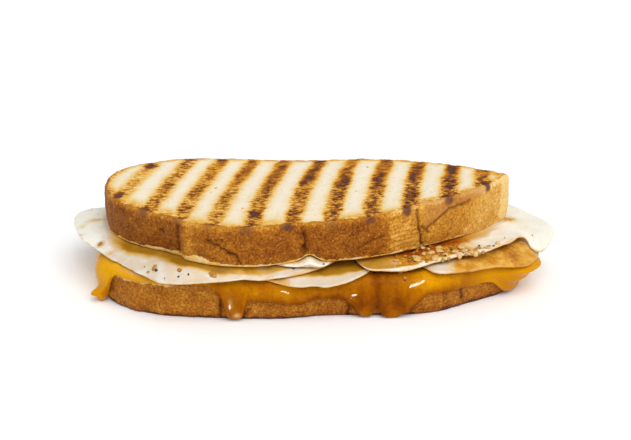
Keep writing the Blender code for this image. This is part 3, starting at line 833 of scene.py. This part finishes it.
def egg_look():
    """Omelette: off-white, browned at the rim and where it was fried, with painted olive-brown shade under and beside
    the toasted slice and a warm tint of its own.
    """
    look = Look("omelette", 0.42, Subsurface_Weight=0.2, Subsurface_Scale=0.0016)
    look.shader.inputs["Specular IOR Level"].default_value = 0.3
    look.shader.inputs["Subsurface Radius"].default_value = (1.0, 0.75, 0.5)
    cloud = look.grain(6.0, 4.0, 0.55)
    fine = look.grain(1.1, 3.0, 0.6)
    fried = look.mask("fried")
    coarse = look.maths("SUBTRACT", 1.0, look.mask("smooth"))
    tone = look.add(
        fried, look.times(look.span(fried, 0.02, 0.4), look.swing(cloud, 0.4)),
        look.times(look.span(fried, 0.1, 0.5), coarse, look.swing(fine, 1.1)),
    )
    colour = look.ramp(
        tone, (0.0, (246, 244, 230)), (0.2, (238, 216, 170)), (0.4, (226, 174, 72)), (0.6, (204, 140, 32)),
        (0.8, (164, 98, 20)), (1.0, (108, 60, 18)),
    )
    # painted shade: olive-brown darkening under and beside the upper slice and on the sheets' undersides, mixed with
    # the egg's own warm tint
    shade_and_tint = look.mask("shade_and_tint")
    shade_and_tint_level = look.add(shade_and_tint, look.times(look.span(shade_and_tint, 0.05, 0.5), look.swing(cloud, 0.5)), look.swing(fine, 0.08))
    shade_and_tint_colour = look.ramp(
        shade_and_tint_level, (0.0, (255, 255, 255)), (0.15, (229, 215, 205)), (0.35, (226, 196, 142)), (0.62, (214, 168, 76)),
        (0.8, (190, 138, 34)), (1.0, (164, 114, 14)),
    )
    colour = look.blend(1.0, colour, shade_and_tint_colour, "MULTIPLY")
    brown = look.span(look.add(look.mask("rim"), look.swing(fine, 0.6)), 0.3, 0.8)
    colour = look.blend(look.times(brown, 0.65), colour, tint(224, 170, 92))
    relief = look.add(look.times(cloud, 0.7), look.times(fine, 0.4))
    return look.finish(colour, relief, 0.4, look.span(cloud, 0.3, 0.7, 0.32, 0.55))


def plain_look(name, dark, light, roughness, subsurface=0.0):
    """A small bit of food, mottled between two colours."""
    look = Look(name, roughness, Subsurface_Weight=subsurface, Subsurface_Scale=0.0008)
    mottle = look.grain(0.9, 3.0, 0.6)
    colour = look.ramp(mottle, (0.3, dark), (0.7, light))
    return look.finish(colour, mottle, 0.15)


TOAST, CHEESE, EGG = toast_look(), cheese_look(), egg_look()


# ---- dressing the pieces
def dress_bread_top():
    skin = slice_skin(UPPER_SLICE, UPPER_SLICE_FLOOR, UPPER_SLICE_HEIGHT, UPPER_ROUNDING, arched, SEAM, 60)
    p = skin.level
    x, y, rise, inset = p[:, 0], p[:, 1], skin.rise, skin.inset
    front = ease((10 - y) / 10)
    wob = 0.6 * noise(p, 3.2, 1) + 0.5 * noise(p, 1.3, 2)
    crust = 1 - ease((inset + wob - 0.3) / 1.7)
    crumb_rim = 0.7 + 0.55 * noise(p, 2.6, 5) + 0.3 * noise(p, 1.2, 9)
    crumb_rim = crumb_rim + (2.0 * bell((x + 40) / 7) + 0.8 * bell((x + 55) / 7)) * front
    crust = crust * ease((rise - crumb_rim) / 0.4)

    tilt, fanned, bent = STRIPE_LEAN
    across = x - bent * y**2 + 0.5 * noise(p, 8, 6) + 0.85 * noise(p, (4, 0.9, 1.2), 7)
    heat, scorch = np.zeros(len(p)), np.zeros(len(p))
    for k, (at, brown) in enumerate(STRIPES):
        away = np.abs(across - at - (tilt + fanned * at) * y) / (STRIPE_HALF * (1 + 0.16 * noise(p, 9, 50 + k)))
        level_k = brown + 0.2 * noise(p, 9, 70 + k)
        heat = np.maximum(heat, level_k * np.exp(-(away**3.4)))
        heat = np.maximum(heat, 0.26 * np.exp(-((away / 1.42) ** 3)))
    speckled = 0.4 + 0.6 * np.maximum(ease((14 - y) / 22), ease((-32 - x) / 15))
    ragged = 0.3 * noise(p, 2.2, 15) + 0.22 * noise(p, 0.9, 16)
    for k, (at, station, half, deep, strength) in enumerate(SCORCHES):
        apart = np.sqrt(((x - at) / half) ** 2 + ((y - station) / deep) ** 2 + ((UPPER_SLICE_HEIGHT - 0.8 - rise) / 2.3) ** 2)
        scorch = np.maximum(scorch, strength * ease((1.35 - apart - ragged) / 1.0))
    broad = 3.6 + (3.6 + 2.4 * noise(p, 9, 21)) * ease((-14 - y + 0.45 * np.clip(-40 - x, 0, 40)) / 12)
    rim = (0.38 + 0.16 * noise(p, 8, 10) - 0.24 * bell((x - 6) / 14) * front) * np.exp(-((inset / broad) ** 1.5))
    rim = np.maximum(rim, (0.42 + 0.14 * noise(p, 3, 11)) * np.exp(-((inset / 1.3) ** 2)))
    rim = np.maximum(rim, 0.42 * bell((x - 74) / 3) * bell((y - 9) / 5))
    heat = np.maximum(heat, rim) * np.where(rise > 8, 1, 0.45)
    tone = 0.36 + 0.06 * noise(p, 15, 8) - 0.04 * ease((-38 - x) / 10) - 0.04 * bell((x - 10) / 10)
    frayed = x + 1.6 * noise(p, 2.6, 17) + 1.1 * noise(p, 1.1, 18)
    tone = tone + 0.25 * ease((frayed - 26.5) / 5) + 0.18 * ease((x - 52) / 14) + 0.3 * ease((0.4 * frayed + 0.6 * x - 74.2) / 1.4)
    tone = tone + 0.22 * bell((x + 42.8) / 3.4) * front + 0.2 * ease((rise - 12.6 - 0.8 * noise(p, 3, 19)) / 2)
    fold_edge = ((43.7, 6.4), (52.3, 11.2), (60.5, 11.9), (70, 12.2))
    above_edge = rise - np.interp(x, [a for a, _ in fold_edge], [b for _, b in fold_edge])
    peach = ease(above_edge / 0.8) * ease((x - 42) / 2) * ease((70 - x) / 6) * front
    peeled = ease((x - 28.6) / 1.2) * ease((41 - x) / 1.5) * ease((12.5 - rise) / 2) * front
    wrinkle = np.sin((rise + 0.0225 * (x - 35) ** 2 + 0.6 * noise(p, 4, 14)) * 4.2) * peeled
    tone = tone + 0.1 * peeled - 0.26 * np.clip(wrinkle - 0.3, 0, 1)

    # cracks in the front crust: pressed in, and darkened with painted shade
    cracks = (
        (((-35.3, 9.5), (-31.1, 7.8), (-27.5, 5.5), (-24.8, 5.0), (-23.7, 1.4)), 0.3, 0.8),
        (((-35.3, 9.5), (-29.9, 10.1)), 0.25, 0.5),
        (((-1.4, 11.2), (-0.8, 7.5), (-0.9, 4.8)), 0.3, 0.8),
        (((-1.4, 5.5), (-0.6, 3.0)), 0.7, 1.0),
        (((17.6, 4.0), (23.2, 6.7), (28.7, 7.4)), 0.25, 0.4),
        (((39.4, 13.8), (40.8, 6.7), (41.5, 2.8), (42.3, 0.4)), 0.4, 1.0),
        (((41.8, 7.5), (44.5, 4.9)), 0.3, 0.7),
        (fold_edge[:3], 0.3, 0.6),
        (((-46.7, 12.5), (-46.6, 6.5), (-46.4, 1.6)), 0.3, 0.6),
        (((-53.4, 8.9), (-52.8, 8.2)), 0.35, 1.0),
    )
    sway = 0.5 * noise(p, 2.2, 12)
    depth, dark = np.zeros(len(p)), np.zeros(len(p))
    for path, width, deep in cracks:
        away = near_path(x + sway, rise + 0.4 * noise(p, 1.9, 13), path)
        depth = np.maximum(depth, deep * bell(away / (width + 0.3)) * front)
        dark = np.maximum(dark, min(1, deep * 1.3) * bell(away / (width + 0.15)) * front)
    away, own = pits(p, 2.6, 1)
    hole = ease((0.30 - away) / 0.16) * (own > 0.35)
    crusty = crust > 0.5
    lumps = np.where(crusty, 0.3 * rough(p, 5.5, 3, 20) + 0.16 * rough(p, 1.5, 2, 24), 0.0)
    face = np.where(crusty, 0.0, 0.12 * rough(p, 4.0, 3, 27) - 0.22 * hole - 0.3 * np.clip(heat, 0, 0.8))
    rest = np.where(rise < 0.2, 0.3, 1.0)
    skin.swell((lumps + face - depth * 0.8 + 0.16 * wrinkle - 0.25 * scorch) * rest)
    skin.masks = {"crust": crust, "toasting": heat, "scorch": scorch, "tone": tone, "peach": peach, "dark": dark, "speckled": speckled}
    return skin.make("toast_top", TOAST, "toasted_bread", "bread_top")


def dress_bread_bottom():
    skin = slice_skin(LOWER_SLICE, 0.0, LOWER_SLICE_HEIGHT, CRUST_ROUNDING, level, None, 3.0)
    p = skin.level
    x, y, rise, inset = p[:, 0], p[:, 1], skin.rise, skin.inset
    front = ease((10 - y) / 10)
    wob = 0.4 * noise(p, 3.2, 31) + 0.25 * noise(p, 1.3, 32)
    crust = 1 - ease((inset + wob - 0.7) / 1.1)
    crust = crust * (1 - ease((rise - 11.7 - 0.5 * noise(p, 3, 33) - 0.4 * noise(p, 1.2, 46)) / 0.5)
                     * ease((-42 - x) / 12) * ease((x + 82) / 5) * front)
    heat = 0.45 * ease((1.5 - rise) / 1.5) + 0.21
    burnt = 1.15 + 0.9 * noise(p, 6, 34) + 0.6 * noise(p, 1.6, 35) + 0.5 * bell((x + 18) / 9) - rise
    scorch = ease((burnt + 0.3) / 0.5) * (0.9 + 0.4 * noise(p, 9, 36))
    tone = 0.47 + 0.07 * noise(p, 15, 38) - 0.06 * ease((4 - rise) / 3) + 0.05 * bell((x + 50) / 20)
    tone = tone - 0.06 * bell((x - 5) / 12)
    # gaps in the lower crust: pressed in, and darkened with painted shade
    gaps = (
        ((-73, 5.5), (-72.5, 8)), ((-31.5, 1), (-31, 8.5)), ((-24, 0.5), (-21.5, 4)), ((14.2, 0.5), (15.2, 5.5)),
        ((57, 3.0), (56.5, 8.5)), ((50, 5), (50.6, 8)),
    )
    dark = np.zeros(len(p))
    for path, strength in zip(gaps, (0.5, 0.95, 0.6, 0.95, 0.8, 0.4)):
        away = near_path(x + 0.5 * noise(p, 2, 39), rise, path)
        dark = np.maximum(dark, strength * bell(away / 0.75) * front)
    wrinkle = np.sin((x + 1.2 * noise(p, 5, 40)) * 2.6) * bell((x - 50) / 4) * front * ease((12 - rise) / 3)
    lumps = 0.32 * rough(p, 5.5, 3, 41) + 0.16 * rough(p, 1.5, 2, 44) + 0.18 * wrinkle - 0.5 * dark
    nick = ease((1.0 + noise(p, (4, 4, 9), 47) * 2.0 - rise) / 1.0) * 0.75
    rest = np.where(rise < 0.2, 0.0, 1.0) * np.where((inset > 3) & (rise > 7), 0.3, 1.0)
    skin.swell((lumps - nick) * rest)
    skin.points[:, 2] = np.maximum(skin.points[:, 2], 0)
    skin.masks = {"crust": crust, "toasting": heat, "scorch": scorch, "tone": tone, "peach": 0 * x, "dark": dark, "speckled": 1 + 0 * x}
    return skin.make("toast_bottom", TOAST, "toasted_bread", "bread_bottom")


def dress_cheese():
    skin = cheese_skin()
    p = skin.level
    x, y, z = p.T
    front = ease((10 - y) / 10)
    soft = 0.3 * noise(p, (6, 6, 11), 51) + 0.2 * noise(p, (2.6, 2.6, 5), 52)
    valley = 0.55 * bell((x - 24.7) / 1.3) * front * ease((12 - z) / 4) + 0.25 * bell((x + 22.6) / 1.2) * front
    soft = soft * (1 - 0.75 * ease((x - 56) / 8)) * (1 - 0.5 * ease((-62 - x) / 8))
    skin.swell(np.where(skin.outer, soft - valley, 0.0))
    skin.points[:, 2] = np.maximum(skin.points[:, 2], 0.1)
    high = ease((z - 3) / 11)
    lip = bell((LOWER_SLICE_HEIGHT - z - skin.hang + 0.4) / 1.3) * (skin.hang > 3) * (skin.hang < 12)
    tone = 0.36 + 0.14 * high + 0.05 * noise(p, 12, 53) - 0.2 * lip * ease((60 - x) / 10)
    tone = tone + (0.36 - 0.22 * ease((z - 14) / 2) * ease((x + 70) / 8)) * ease((-48 - x) / 14) + 0.22 * ease((x - 58) / 10) + 0.06 * bell((x - 45) / 8)
    tone = tone + 0.14 * bell((x - 44) / 11) * ease((z - 10) / 3) * front
    lobes = bell((x - 20.4) / 2.6) + bell((x - 30.6) / 3.0)
    tone = tone - (0.2 * bell((x - 26) / 12) + 0.1 * bell((x - 24.8) / 2)) * front
    tone = tone + 0.2 * lobes * ease((6.5 - z) / 4) * front
    pale = 0.85 * bell(np.hypot(x + 25.4, 1.2 * (z - 2.6)) / 1.0) * front
    pale = np.maximum(pale, 0.6 * bell((x + 60) / 7) * bell((z - 15.4) / 0.8) * front)
    # a thin pale streak down the narrow drip: a painted highlight
    pale = np.maximum(pale, 0.4 * bell((x + 27.6) / 0.7) * bell((z - 7) / 2) * front)
    # painted highlights on the drape: x, height, half length, half thickness, slope
    spots = ((-8.4, 12, 1.5, 0.3, -0.3), (-6.9, 11.4, 0.5, 0.25, 0), (16.5, 9.6, 1.2, 0.4, 0.2), (15.7, 8.4, 0.4, 0.3, 0),
             (38.6, 12.8, 2.2, 0.5, 0.15), (41.2, 13.6, 1.0, 0.4, 0.2), (36.8, 12.2, 0.7, 0.4, 0), (-27.8, 6, 0.3, 1.0, 0))
    painted_glint = np.zeros(len(p))
    for at, up, long, thick, slope in spots:
        painted_glint = np.maximum(painted_glint, bell(np.hypot((x - at) / long, (z - up - slope * (x - at)) / thick)) * front)
    calm = np.maximum(ease((x - 56) / 6), 0.5 * ease((-60 - x) / 8))
    skin.masks = {"tone": tone, "pale": pale, "painted_glint": painted_glint, "calm": calm}
    skin.make("melted_cheese", CHEESE, "melted_cheese", "cheese")
    return skin


SLICE_RIM = closed_curve(UPPER_SLICE, 300)


def beyond_slice(p):
    """How far outside the upper slice's outline each point lies, negative under the slice."""
    return nearest(p, SLICE_RIM)[0] * np.where(inside(p, SLICE_RIM), -1, 1)


def dress_sheet(name, node, outline, base, thickness, seed, marks, slot="omelette"):
    """One sheet. marks(p, band, skin) gives its masks, with band from 0 at its rim to 1 at the slice."""
    skin = sheet_skin(outline, base, thickness, seed)
    p = skin.level
    out = beyond_slice(p)
    band = skin.inset / (skin.inset + np.clip(out, 0, None) + 1e-6)
    near = np.maximum(ease((-12 - p[:, 0]) / 8), ease((p[:, 0] - 54) / 12))
    close = 0.5 * ease((0.9 - out) / 1.6) * (near if thickness is even else 0.8) * skin.top
    skin.swell(0.24 * rough(p, (9, 9, 9), 2, seed + 3) + 0.07 * rough(p, 1.6, 2, seed + 5) + close)
    shade_and_tint, fried, rim = marks(p, np.clip(band, 0, 1), skin)
    edge = ease((1.0 - skin.inset + 0.5 * noise(p, 3, seed + 8)) / 0.9)
    smooth = np.full(len(p), 0.5 if node == "egg_lower_right" else 0.0)
    # the sheets' undersides get a fixed amount of painted shade
    skin.masks = {"shade_and_tint": np.where(skin.top, shade_and_tint, 0.3), "fried": fried, "rim": edge * rim, "smooth": smooth}
    skin.make(name, EGG, slot, node)
    return skin


def left_marks(p, band, skin):
    x, y = p[:, 0], p[:, 1]
    # painted shade next to and under the upper slice; the lower lines add the egg's own warm tint and a darker patch
    # round a crumb
    frayed = band + 0.08 * noise(p, 5, 203) + 0.03 * noise(p, 1.8, 204)
    start = 0.44 - 0.2 * ease((-54 - x) / 10) + 0.24 * ease((x + 32) / 12)
    shade_and_tint = (1.1 + 0.3 * noise(p, 8, 201)) * ease((frayed - start) / 0.58) * ease((x + 79) / 12) * ease((22 - y) / 14)
    shade_and_tint = np.maximum(shade_and_tint, 0.15 * ease((x + 82) / 12) + 0.1 * rough(p, 6, 2, 205))
    shade_and_tint = np.maximum(shade_and_tint, 0.5 * bell(np.hypot(x + 78.3, y + 15.5) / 1.6))
    shade_and_tint = np.maximum(shade_and_tint, 0.25 * ease((band - 0.75) / 0.25))
    fried = 0.3 * bell(np.hypot((x + 84) / 3.2, (y - 7) / 2)) + 0.25 * bell(np.hypot(x + 89, y - 2.5) / 1.6)
    fried = fried + 0.3 * bell(np.hypot((x + 73.3) / 2, (y + 22.5) / 1.2))
    rim = 0.3 + 0.6 * noise(p, 5, 202) + 0.9 * bell((x - 1) / 8) * ease(-y / 20)
    return shade_and_tint, fried, rim


def middle_marks(p, band, skin):
    x, y = p[:, 0], p[:, 1]
    clear = ease((-4 - x) / 6) * ease(-y / 20)
    # painted shade near the upper slice, plus a yellowish tint where the egg is thin
    shade_and_tint = np.maximum(0.9 * ease((band + 0.1 * noise(p, 4, 212) - 0.4) / 0.34), 0.5 * clear)
    shade_and_tint = np.maximum(shade_and_tint, 0.15 + 0.06 * noise(p, 6, 213))
    return shade_and_tint, 0.16 * clear, 0.3 + 0.5 * noise(p, 5, 211) + 0.3 * clear


def right_marks(p, band, skin):
    x, y = p[:, 0], p[:, 1]
    front = ease((4 - y) / 10)
    frayed = x + 3 * noise(p, 5, 225)
    gold = ease((frayed - 28) / 5) * ease((67 - frayed) / 14) * ease((band + 0.12 * noise(p, 4, 226) - 0.06) / 0.14)
    gold = gold * ease((10 - y) / 14) + 0.7 * bell((x - 55) / 14) * ease((y - 18) / 8)
    # painted shade in the hollow under the upper slice and along its edge
    shade_and_tint = 0.72 * ease((34 - x) / 6) * ease((band - 0.03) / 0.12) * ease((10 - y) / 12)
    shade_and_tint = np.maximum(shade_and_tint, 0.9 * ease((band - 0.6 - 0.2 * noise(p, 6, 221)) / 0.3) * bell((x - 50) / 20) * front)
    shade_and_tint = np.maximum(shade_and_tint, 0.3 * ease((band - 0.85) / 0.15))
    shade_and_tint = np.maximum(shade_and_tint, 0.03 + 0.04 * noise(p, 6, 227))
    blotch = ease((noise(p, 3.2, 222) + 0.5 * noise(p, 1.4, 223) + 0.3) / 0.6)
    fried = gold * (0.46 + 0.24 * blotch + 0.16 * bell((x - 36) / 7)) + 0.5 * bell(np.hypot((x - 79.4) / 3, (y - 6.5) / 2.5))
    rim = 0.45 + 0.35 * noise(p, 5, 224) + (0.75 * bell((x - 74) / 6) + 0.3 * bell((x - 45) / 16)) * front
    return shade_and_tint, fried, rim


def lower_marks(p, band, skin):
    x, y = p[:, 0], p[:, 1]
    white = bell((x - 47.5) / 5.5) * ease(-y / 20)
    tip = bell(np.hypot(x - 88, y + 10) / 4.5)
    plain = (1 - white) * (1 - 0.85 * tip)
    fried = (0.54 + 0.22 * rough(p, 4.5, 2, 232) - 0.06 * bell((x - 60) / 6)) * plain
    fried = fried + 0.25 * bell(np.hypot(x - 55, y + 33) / 1.8)
    # painted shade near the upper slice, and a faint tint on the white patch
    shade_and_tint = np.maximum(0.45 * ease((band - 0.4) / 0.4) * plain, 0.12 * white)
    return shade_and_tint, fried, 0.5 + 0.5 * noise(p, 6, 231)


def fold_marks(p, band, skin):
    # painted shade where the fold runs under the upper slice
    return np.maximum(0.3 * ease((band - 0.7) / 0.3), 0.04), 0 * band, 0.1 + 0.3 * noise(p, 6, 241)


def dress_fold():
    return dress_sheet("sheet_fold", "egg_fold", UPPER_FOLD, fold_layer, folded, 141, fold_marks)


dress_bread_top()
dress_bread_bottom()
CHEESE_SKIN = dress_cheese()
LEFT_SKIN = dress_sheet("sheet_left", "egg_left", LEFT_SHEET, high_layer, even, 101, left_marks)
dress_sheet("sheet_middle", "egg_middle", MIDDLE_SHEET, low_layer, even, 111, middle_marks)
RIGHT_SKIN = dress_sheet("sheet_right", "egg_right", RIGHT_SHEET, high_layer, even, 121, right_marks, "browned_omelette")
LOWER_SKIN = dress_sheet("sheet_lower", "egg_lower_right", LOWER_RIGHT_SHEET, low_layer, even, 131, lower_marks,
                         "browned_omelette")
FOLD_SKIN = dress_fold()


# ---- small bits on the sheets and the cheese
def blob(size, stretch, dice):
    """A lumpy closed bit about this many millimetres across."""
    mesh = bmesh.new()
    bmesh.ops.create_icosphere(mesh, subdivisions=2, radius=0.5)
    points = np.array([tuple(v.co) for v in mesh.verts])
    faces = np.array([[v.index for v in f.verts] for f in mesh.faces])
    mesh.free()
    lumpy = 1 + 0.45 * noise(points, 0.55, dice.integers(900)) + 0.12 * dice.normal(size=len(points))
    return points * lumpy[:, None] * size * np.array(stretch), faces


def scatter(name, look, slot, bits, dice, sink=0.25):
    """Bits joined into one piece. Each is (skin, x, y, z or None, size, stretch), at rest on that skin."""
    places, faces, total = [], [], 0
    facing = {}
    for skin, x, y, z, size, stretch in bits:
        if id(skin) not in facing:
            facing[id(skin)] = normals(skin.points, skin.faces)
        up = facing[id(skin)]
        seen = skin.top if hasattr(skin, "top") else skin.outer
        far = np.hypot(skin.level[:, 0] - x, skin.level[:, 1] - y) + (0 if z is None else np.abs(skin.level[:, 2] - z))
        at = np.where(seen, far, 999.0).argmin()
        normal = up[at]
        side = np.cross(normal, (0.3 + dice.random(), dice.normal(), 0.2))
        side /= np.linalg.norm(side)
        points, found = blob(size, stretch, dice)
        frame_of = np.stack([side, np.cross(normal, side), normal])
        places.append(skin.points[at] + normal * size * stretch[2] * (0.5 - sink) + points @ frame_of)
        faces.append(found + total)
        total += len(points)
    made = Skin.__new__(Skin)
    made.points, made.faces, made.masks = np.vstack(places), np.vstack(faces), {}
    return made.make(name, look, slot)


def strewn(skin, count, xs, ys, size, flat, dice):
    """Bits spread evenly over a patch of one skin."""
    return [(skin, dice.uniform(*xs), dice.uniform(*ys), None, size * dice.uniform(0.6, 1.35),
             (dice.uniform(0.8, 1.3), dice.uniform(0.7, 1.1), flat)) for _ in range(count)]


def bits():
    dice = np.random.default_rng(5)
    round_bit = (1, 0.9, 0.7)
    pepper = [
        (LEFT_SKIN, -53.9, -39.9, None, 1.15, (1, 1, 0.8)), (LEFT_SKIN, -42, -44, None, 0.8, round_bit),
        (LEFT_SKIN, -45.6, -45.2, None, 0.8, round_bit), (LEFT_SKIN, -5.3, -39.5, None, 0.75, round_bit),
        (LEFT_SKIN, -59, -35.8, None, 0.5, round_bit), (LEFT_SKIN, -50.6, -44.5, None, 0.5, round_bit),
        (LEFT_SKIN, -70, 30, None, 0.8, round_bit), (LEFT_SKIN, -40, 41, None, 0.9, round_bit),
        (FOLD_SKIN, 5.5, -38.6, None, 0.75, round_bit), (CHEESE_SKIN, 34.8, -38.9, 14.5, 0.8, round_bit),
        (RIGHT_SKIN, 63.3, -22.6, None, 1.0, round_bit), (RIGHT_SKIN, 52.8, -26.5, None, 0.75, round_bit),
        (RIGHT_SKIN, 68.6, -24, None, 0.8, round_bit), (RIGHT_SKIN, 55.3, -28.6, None, 0.75, round_bit),
        (RIGHT_SKIN, 50, -32, None, 0.85, round_bit), (RIGHT_SKIN, 48.4, -33.6, None, 0.6, round_bit),
        (RIGHT_SKIN, 38.3, -33.2, None, 0.8, round_bit), (RIGHT_SKIN, 35.9, -31.3, None, 0.7, round_bit),
        (RIGHT_SKIN, 86.2, -8.2, None, 0.5, round_bit), (RIGHT_SKIN, 74.2, -14.9, None, 0.5, round_bit),
    ]
    pepper += strewn(RIGHT_SKIN, 8, (40, 80), (20, 36), 0.7, 0.7, dice) + strewn(LEFT_SKIN, 5, (-90, -80), (4, 24), 0.45, 0.6, dice)
    scatter("pepper", PEPPER, "browned_omelette", pepper, dice)
    onion = [
        (RIGHT_SKIN, 48.2, -28.2, None, 3.0, (1.3, 0.8, 0.35)), (RIGHT_SKIN, 53.7, -28.6, None, 2.6, (1.2, 0.9, 0.35)),
        (RIGHT_SKIN, 57.8, -27.7, None, 2.2, (1, 1, 0.4)), (RIGHT_SKIN, 59.8, -29.4, None, 2.4, (1.2, 0.8, 0.35)),
        (RIGHT_SKIN, 66, -25.2, None, 2.2, (1.1, 0.8, 0.35)), (RIGHT_SKIN, 31.5, -34.5, None, 1.8, (0.6, 1.6, 0.5)),
        (RIGHT_SKIN, 42, -31, None, 2.2, (1.2, 0.8, 0.5)), (RIGHT_SKIN, 70.5, -21.5, None, 2.0, (1.1, 0.8, 0.5)),
    ]
    onion += strewn(RIGHT_SKIN, 16, (36, 66), (-35, -24), 2.3, 0.35, dice) + strewn(RIGHT_SKIN, 9, (36, 74), (24, 36), 2.0, 0.4, dice)
    scatter("onion", ONION, "omelette", onion, dice, 0.2)
    crumbs = [
        (LEFT_SKIN, -54.6, -38.2, None, 2.1, (1.2, 1.0, 0.35)), (LEFT_SKIN, -45.1, -42.7, None, 1.7, (1.1, 1.0, 0.35)),
        (LEFT_SKIN, -33.4, -44.3, None, 2.2, (1.5, 0.9, 0.35)), (LEFT_SKIN, -78.3, -15.5, None, 1.7, (1, 1, 0.4)),
        (LEFT_SKIN, -57, -39, None, 1.0, (1, 1, 0.5)), (RIGHT_SKIN, 61.1, -27.5, None, 1.6, (1, 1, 0.5)),
        (RIGHT_SKIN, 62.4, -26, None, 1.3, (1, 1, 0.5)),
        (CHEESE_SKIN, 33.2, -36.6, 16.4, 1.6, (1, 1, 0.6)), (CHEESE_SKIN, 34.4, -38.2, 15.2, 1.3, (1, 1, 0.6)),
        (CHEESE_SKIN, 52, -33.5, 13.8, 1.2, (1, 1, 0.5)),
    ]
    crumbs += strewn(RIGHT_SKIN, 44, (32, 68), (-36, -22), 1.1, 0.5, dice) + strewn(RIGHT_SKIN, 12, (36, 74), (24, 36), 1.2, 0.55, dice)
    scatter("golden_bits", GOLDEN, "browned_omelette", crumbs, dice, 0.2)
    herbs = strewn(RIGHT_SKIN, 14, (36, 68), (-35, -23), 1.2, 0.35, dice) + strewn(RIGHT_SKIN, 5, (40, 74), (24, 34), 1.1, 0.4, dice)
    scatter("herbs", HERB, "browned_omelette", herbs, dice, 0.2)


PEPPER = plain_look("pepper", (20, 18, 18), (66, 54, 48), 0.6)
ONION = plain_look("onion", (208, 154, 76), (238, 204, 138), 0.35, 0.3)
GOLDEN = plain_look("golden_bits", (156, 94, 22), (216, 158, 60), 0.5)
HERB = plain_look("herbs", (120, 104, 24), (190, 172, 62), 0.5)
bits()


# ---- floor, light and camera
def floor():
    side = 6.0
    mesh = bpy.data.meshes.new("floor")
    mesh.from_pydata([(-side, -side, 0), (side, -side, 0), (side, side, 0), (-side, side, 0)], [], [(0, 1, 2, 3)])
    made = bpy.data.objects.new("floor", mesh)
    look = Look("floor", 0.9, Specular_IOR_Level=0.0, Emission_Color=(0.88, 0.95, 1.0, 1.0), Emission_Strength=0.05)
    made.data.materials.append(look.finish(tint(255, 255, 255)))
    bpy.context.scene.collection.objects.link(made)


def sun(energy, spread, tilt, turn):
    """Even light from this many degrees off the vertical, spread over a wide angle."""
    light = bpy.data.lights.new("sun", "SUN")
    light.energy, light.angle = energy, math.radians(spread)
    made = bpy.data.objects.new("sun", light)
    bpy.context.scene.collection.objects.link(made)
    made.rotation_euler = (math.radians(tilt), 0, math.radians(turn))


def lamp(name, energy, size, at, towards=(0, 0, 0.02)):
    light = bpy.data.lights.new(name, "AREA")
    light.energy, light.size = energy, size
    made = bpy.data.objects.new(name, light)
    bpy.context.scene.collection.objects.link(made)
    made.location = at
    away = np.array(at) - np.array(towards)
    flat = math.hypot(away[0], away[1])
    made.rotation_euler = (math.atan2(flat, away[2]), 0, math.atan2(away[1], away[0]) + math.pi / 2)


def world(strength):
    made = bpy.data.worlds.new("studio")
    made.use_nodes = True
    made.node_tree.nodes["Background"].inputs["Color"].default_value = (1, 1, 1, 1)
    made.node_tree.nodes["Background"].inputs["Strength"].default_value = strength
    bpy.context.scene.world = made


def camera():
    lens = bpy.data.cameras.new("camera")
    lens.sensor_width, lens.lens, lens.clip_start = 36, 1047 / 631 * 36, 0.01
    made = bpy.data.objects.new("camera", lens)
    bpy.context.scene.collection.objects.link(made)
    made.location, made.rotation_euler = (0.0025, -0.3829, 0.163), (math.radians(70), 0, 0)
    bpy.context.scene.camera = made


floor()
world(0.5)
sun(1.95, 60, 36, 25)
lamp("front", 0.5, 0.05, (0.15, -0.75, 0.75))
camera()
bpy.context.scene.view_settings.view_transform = "Standard"
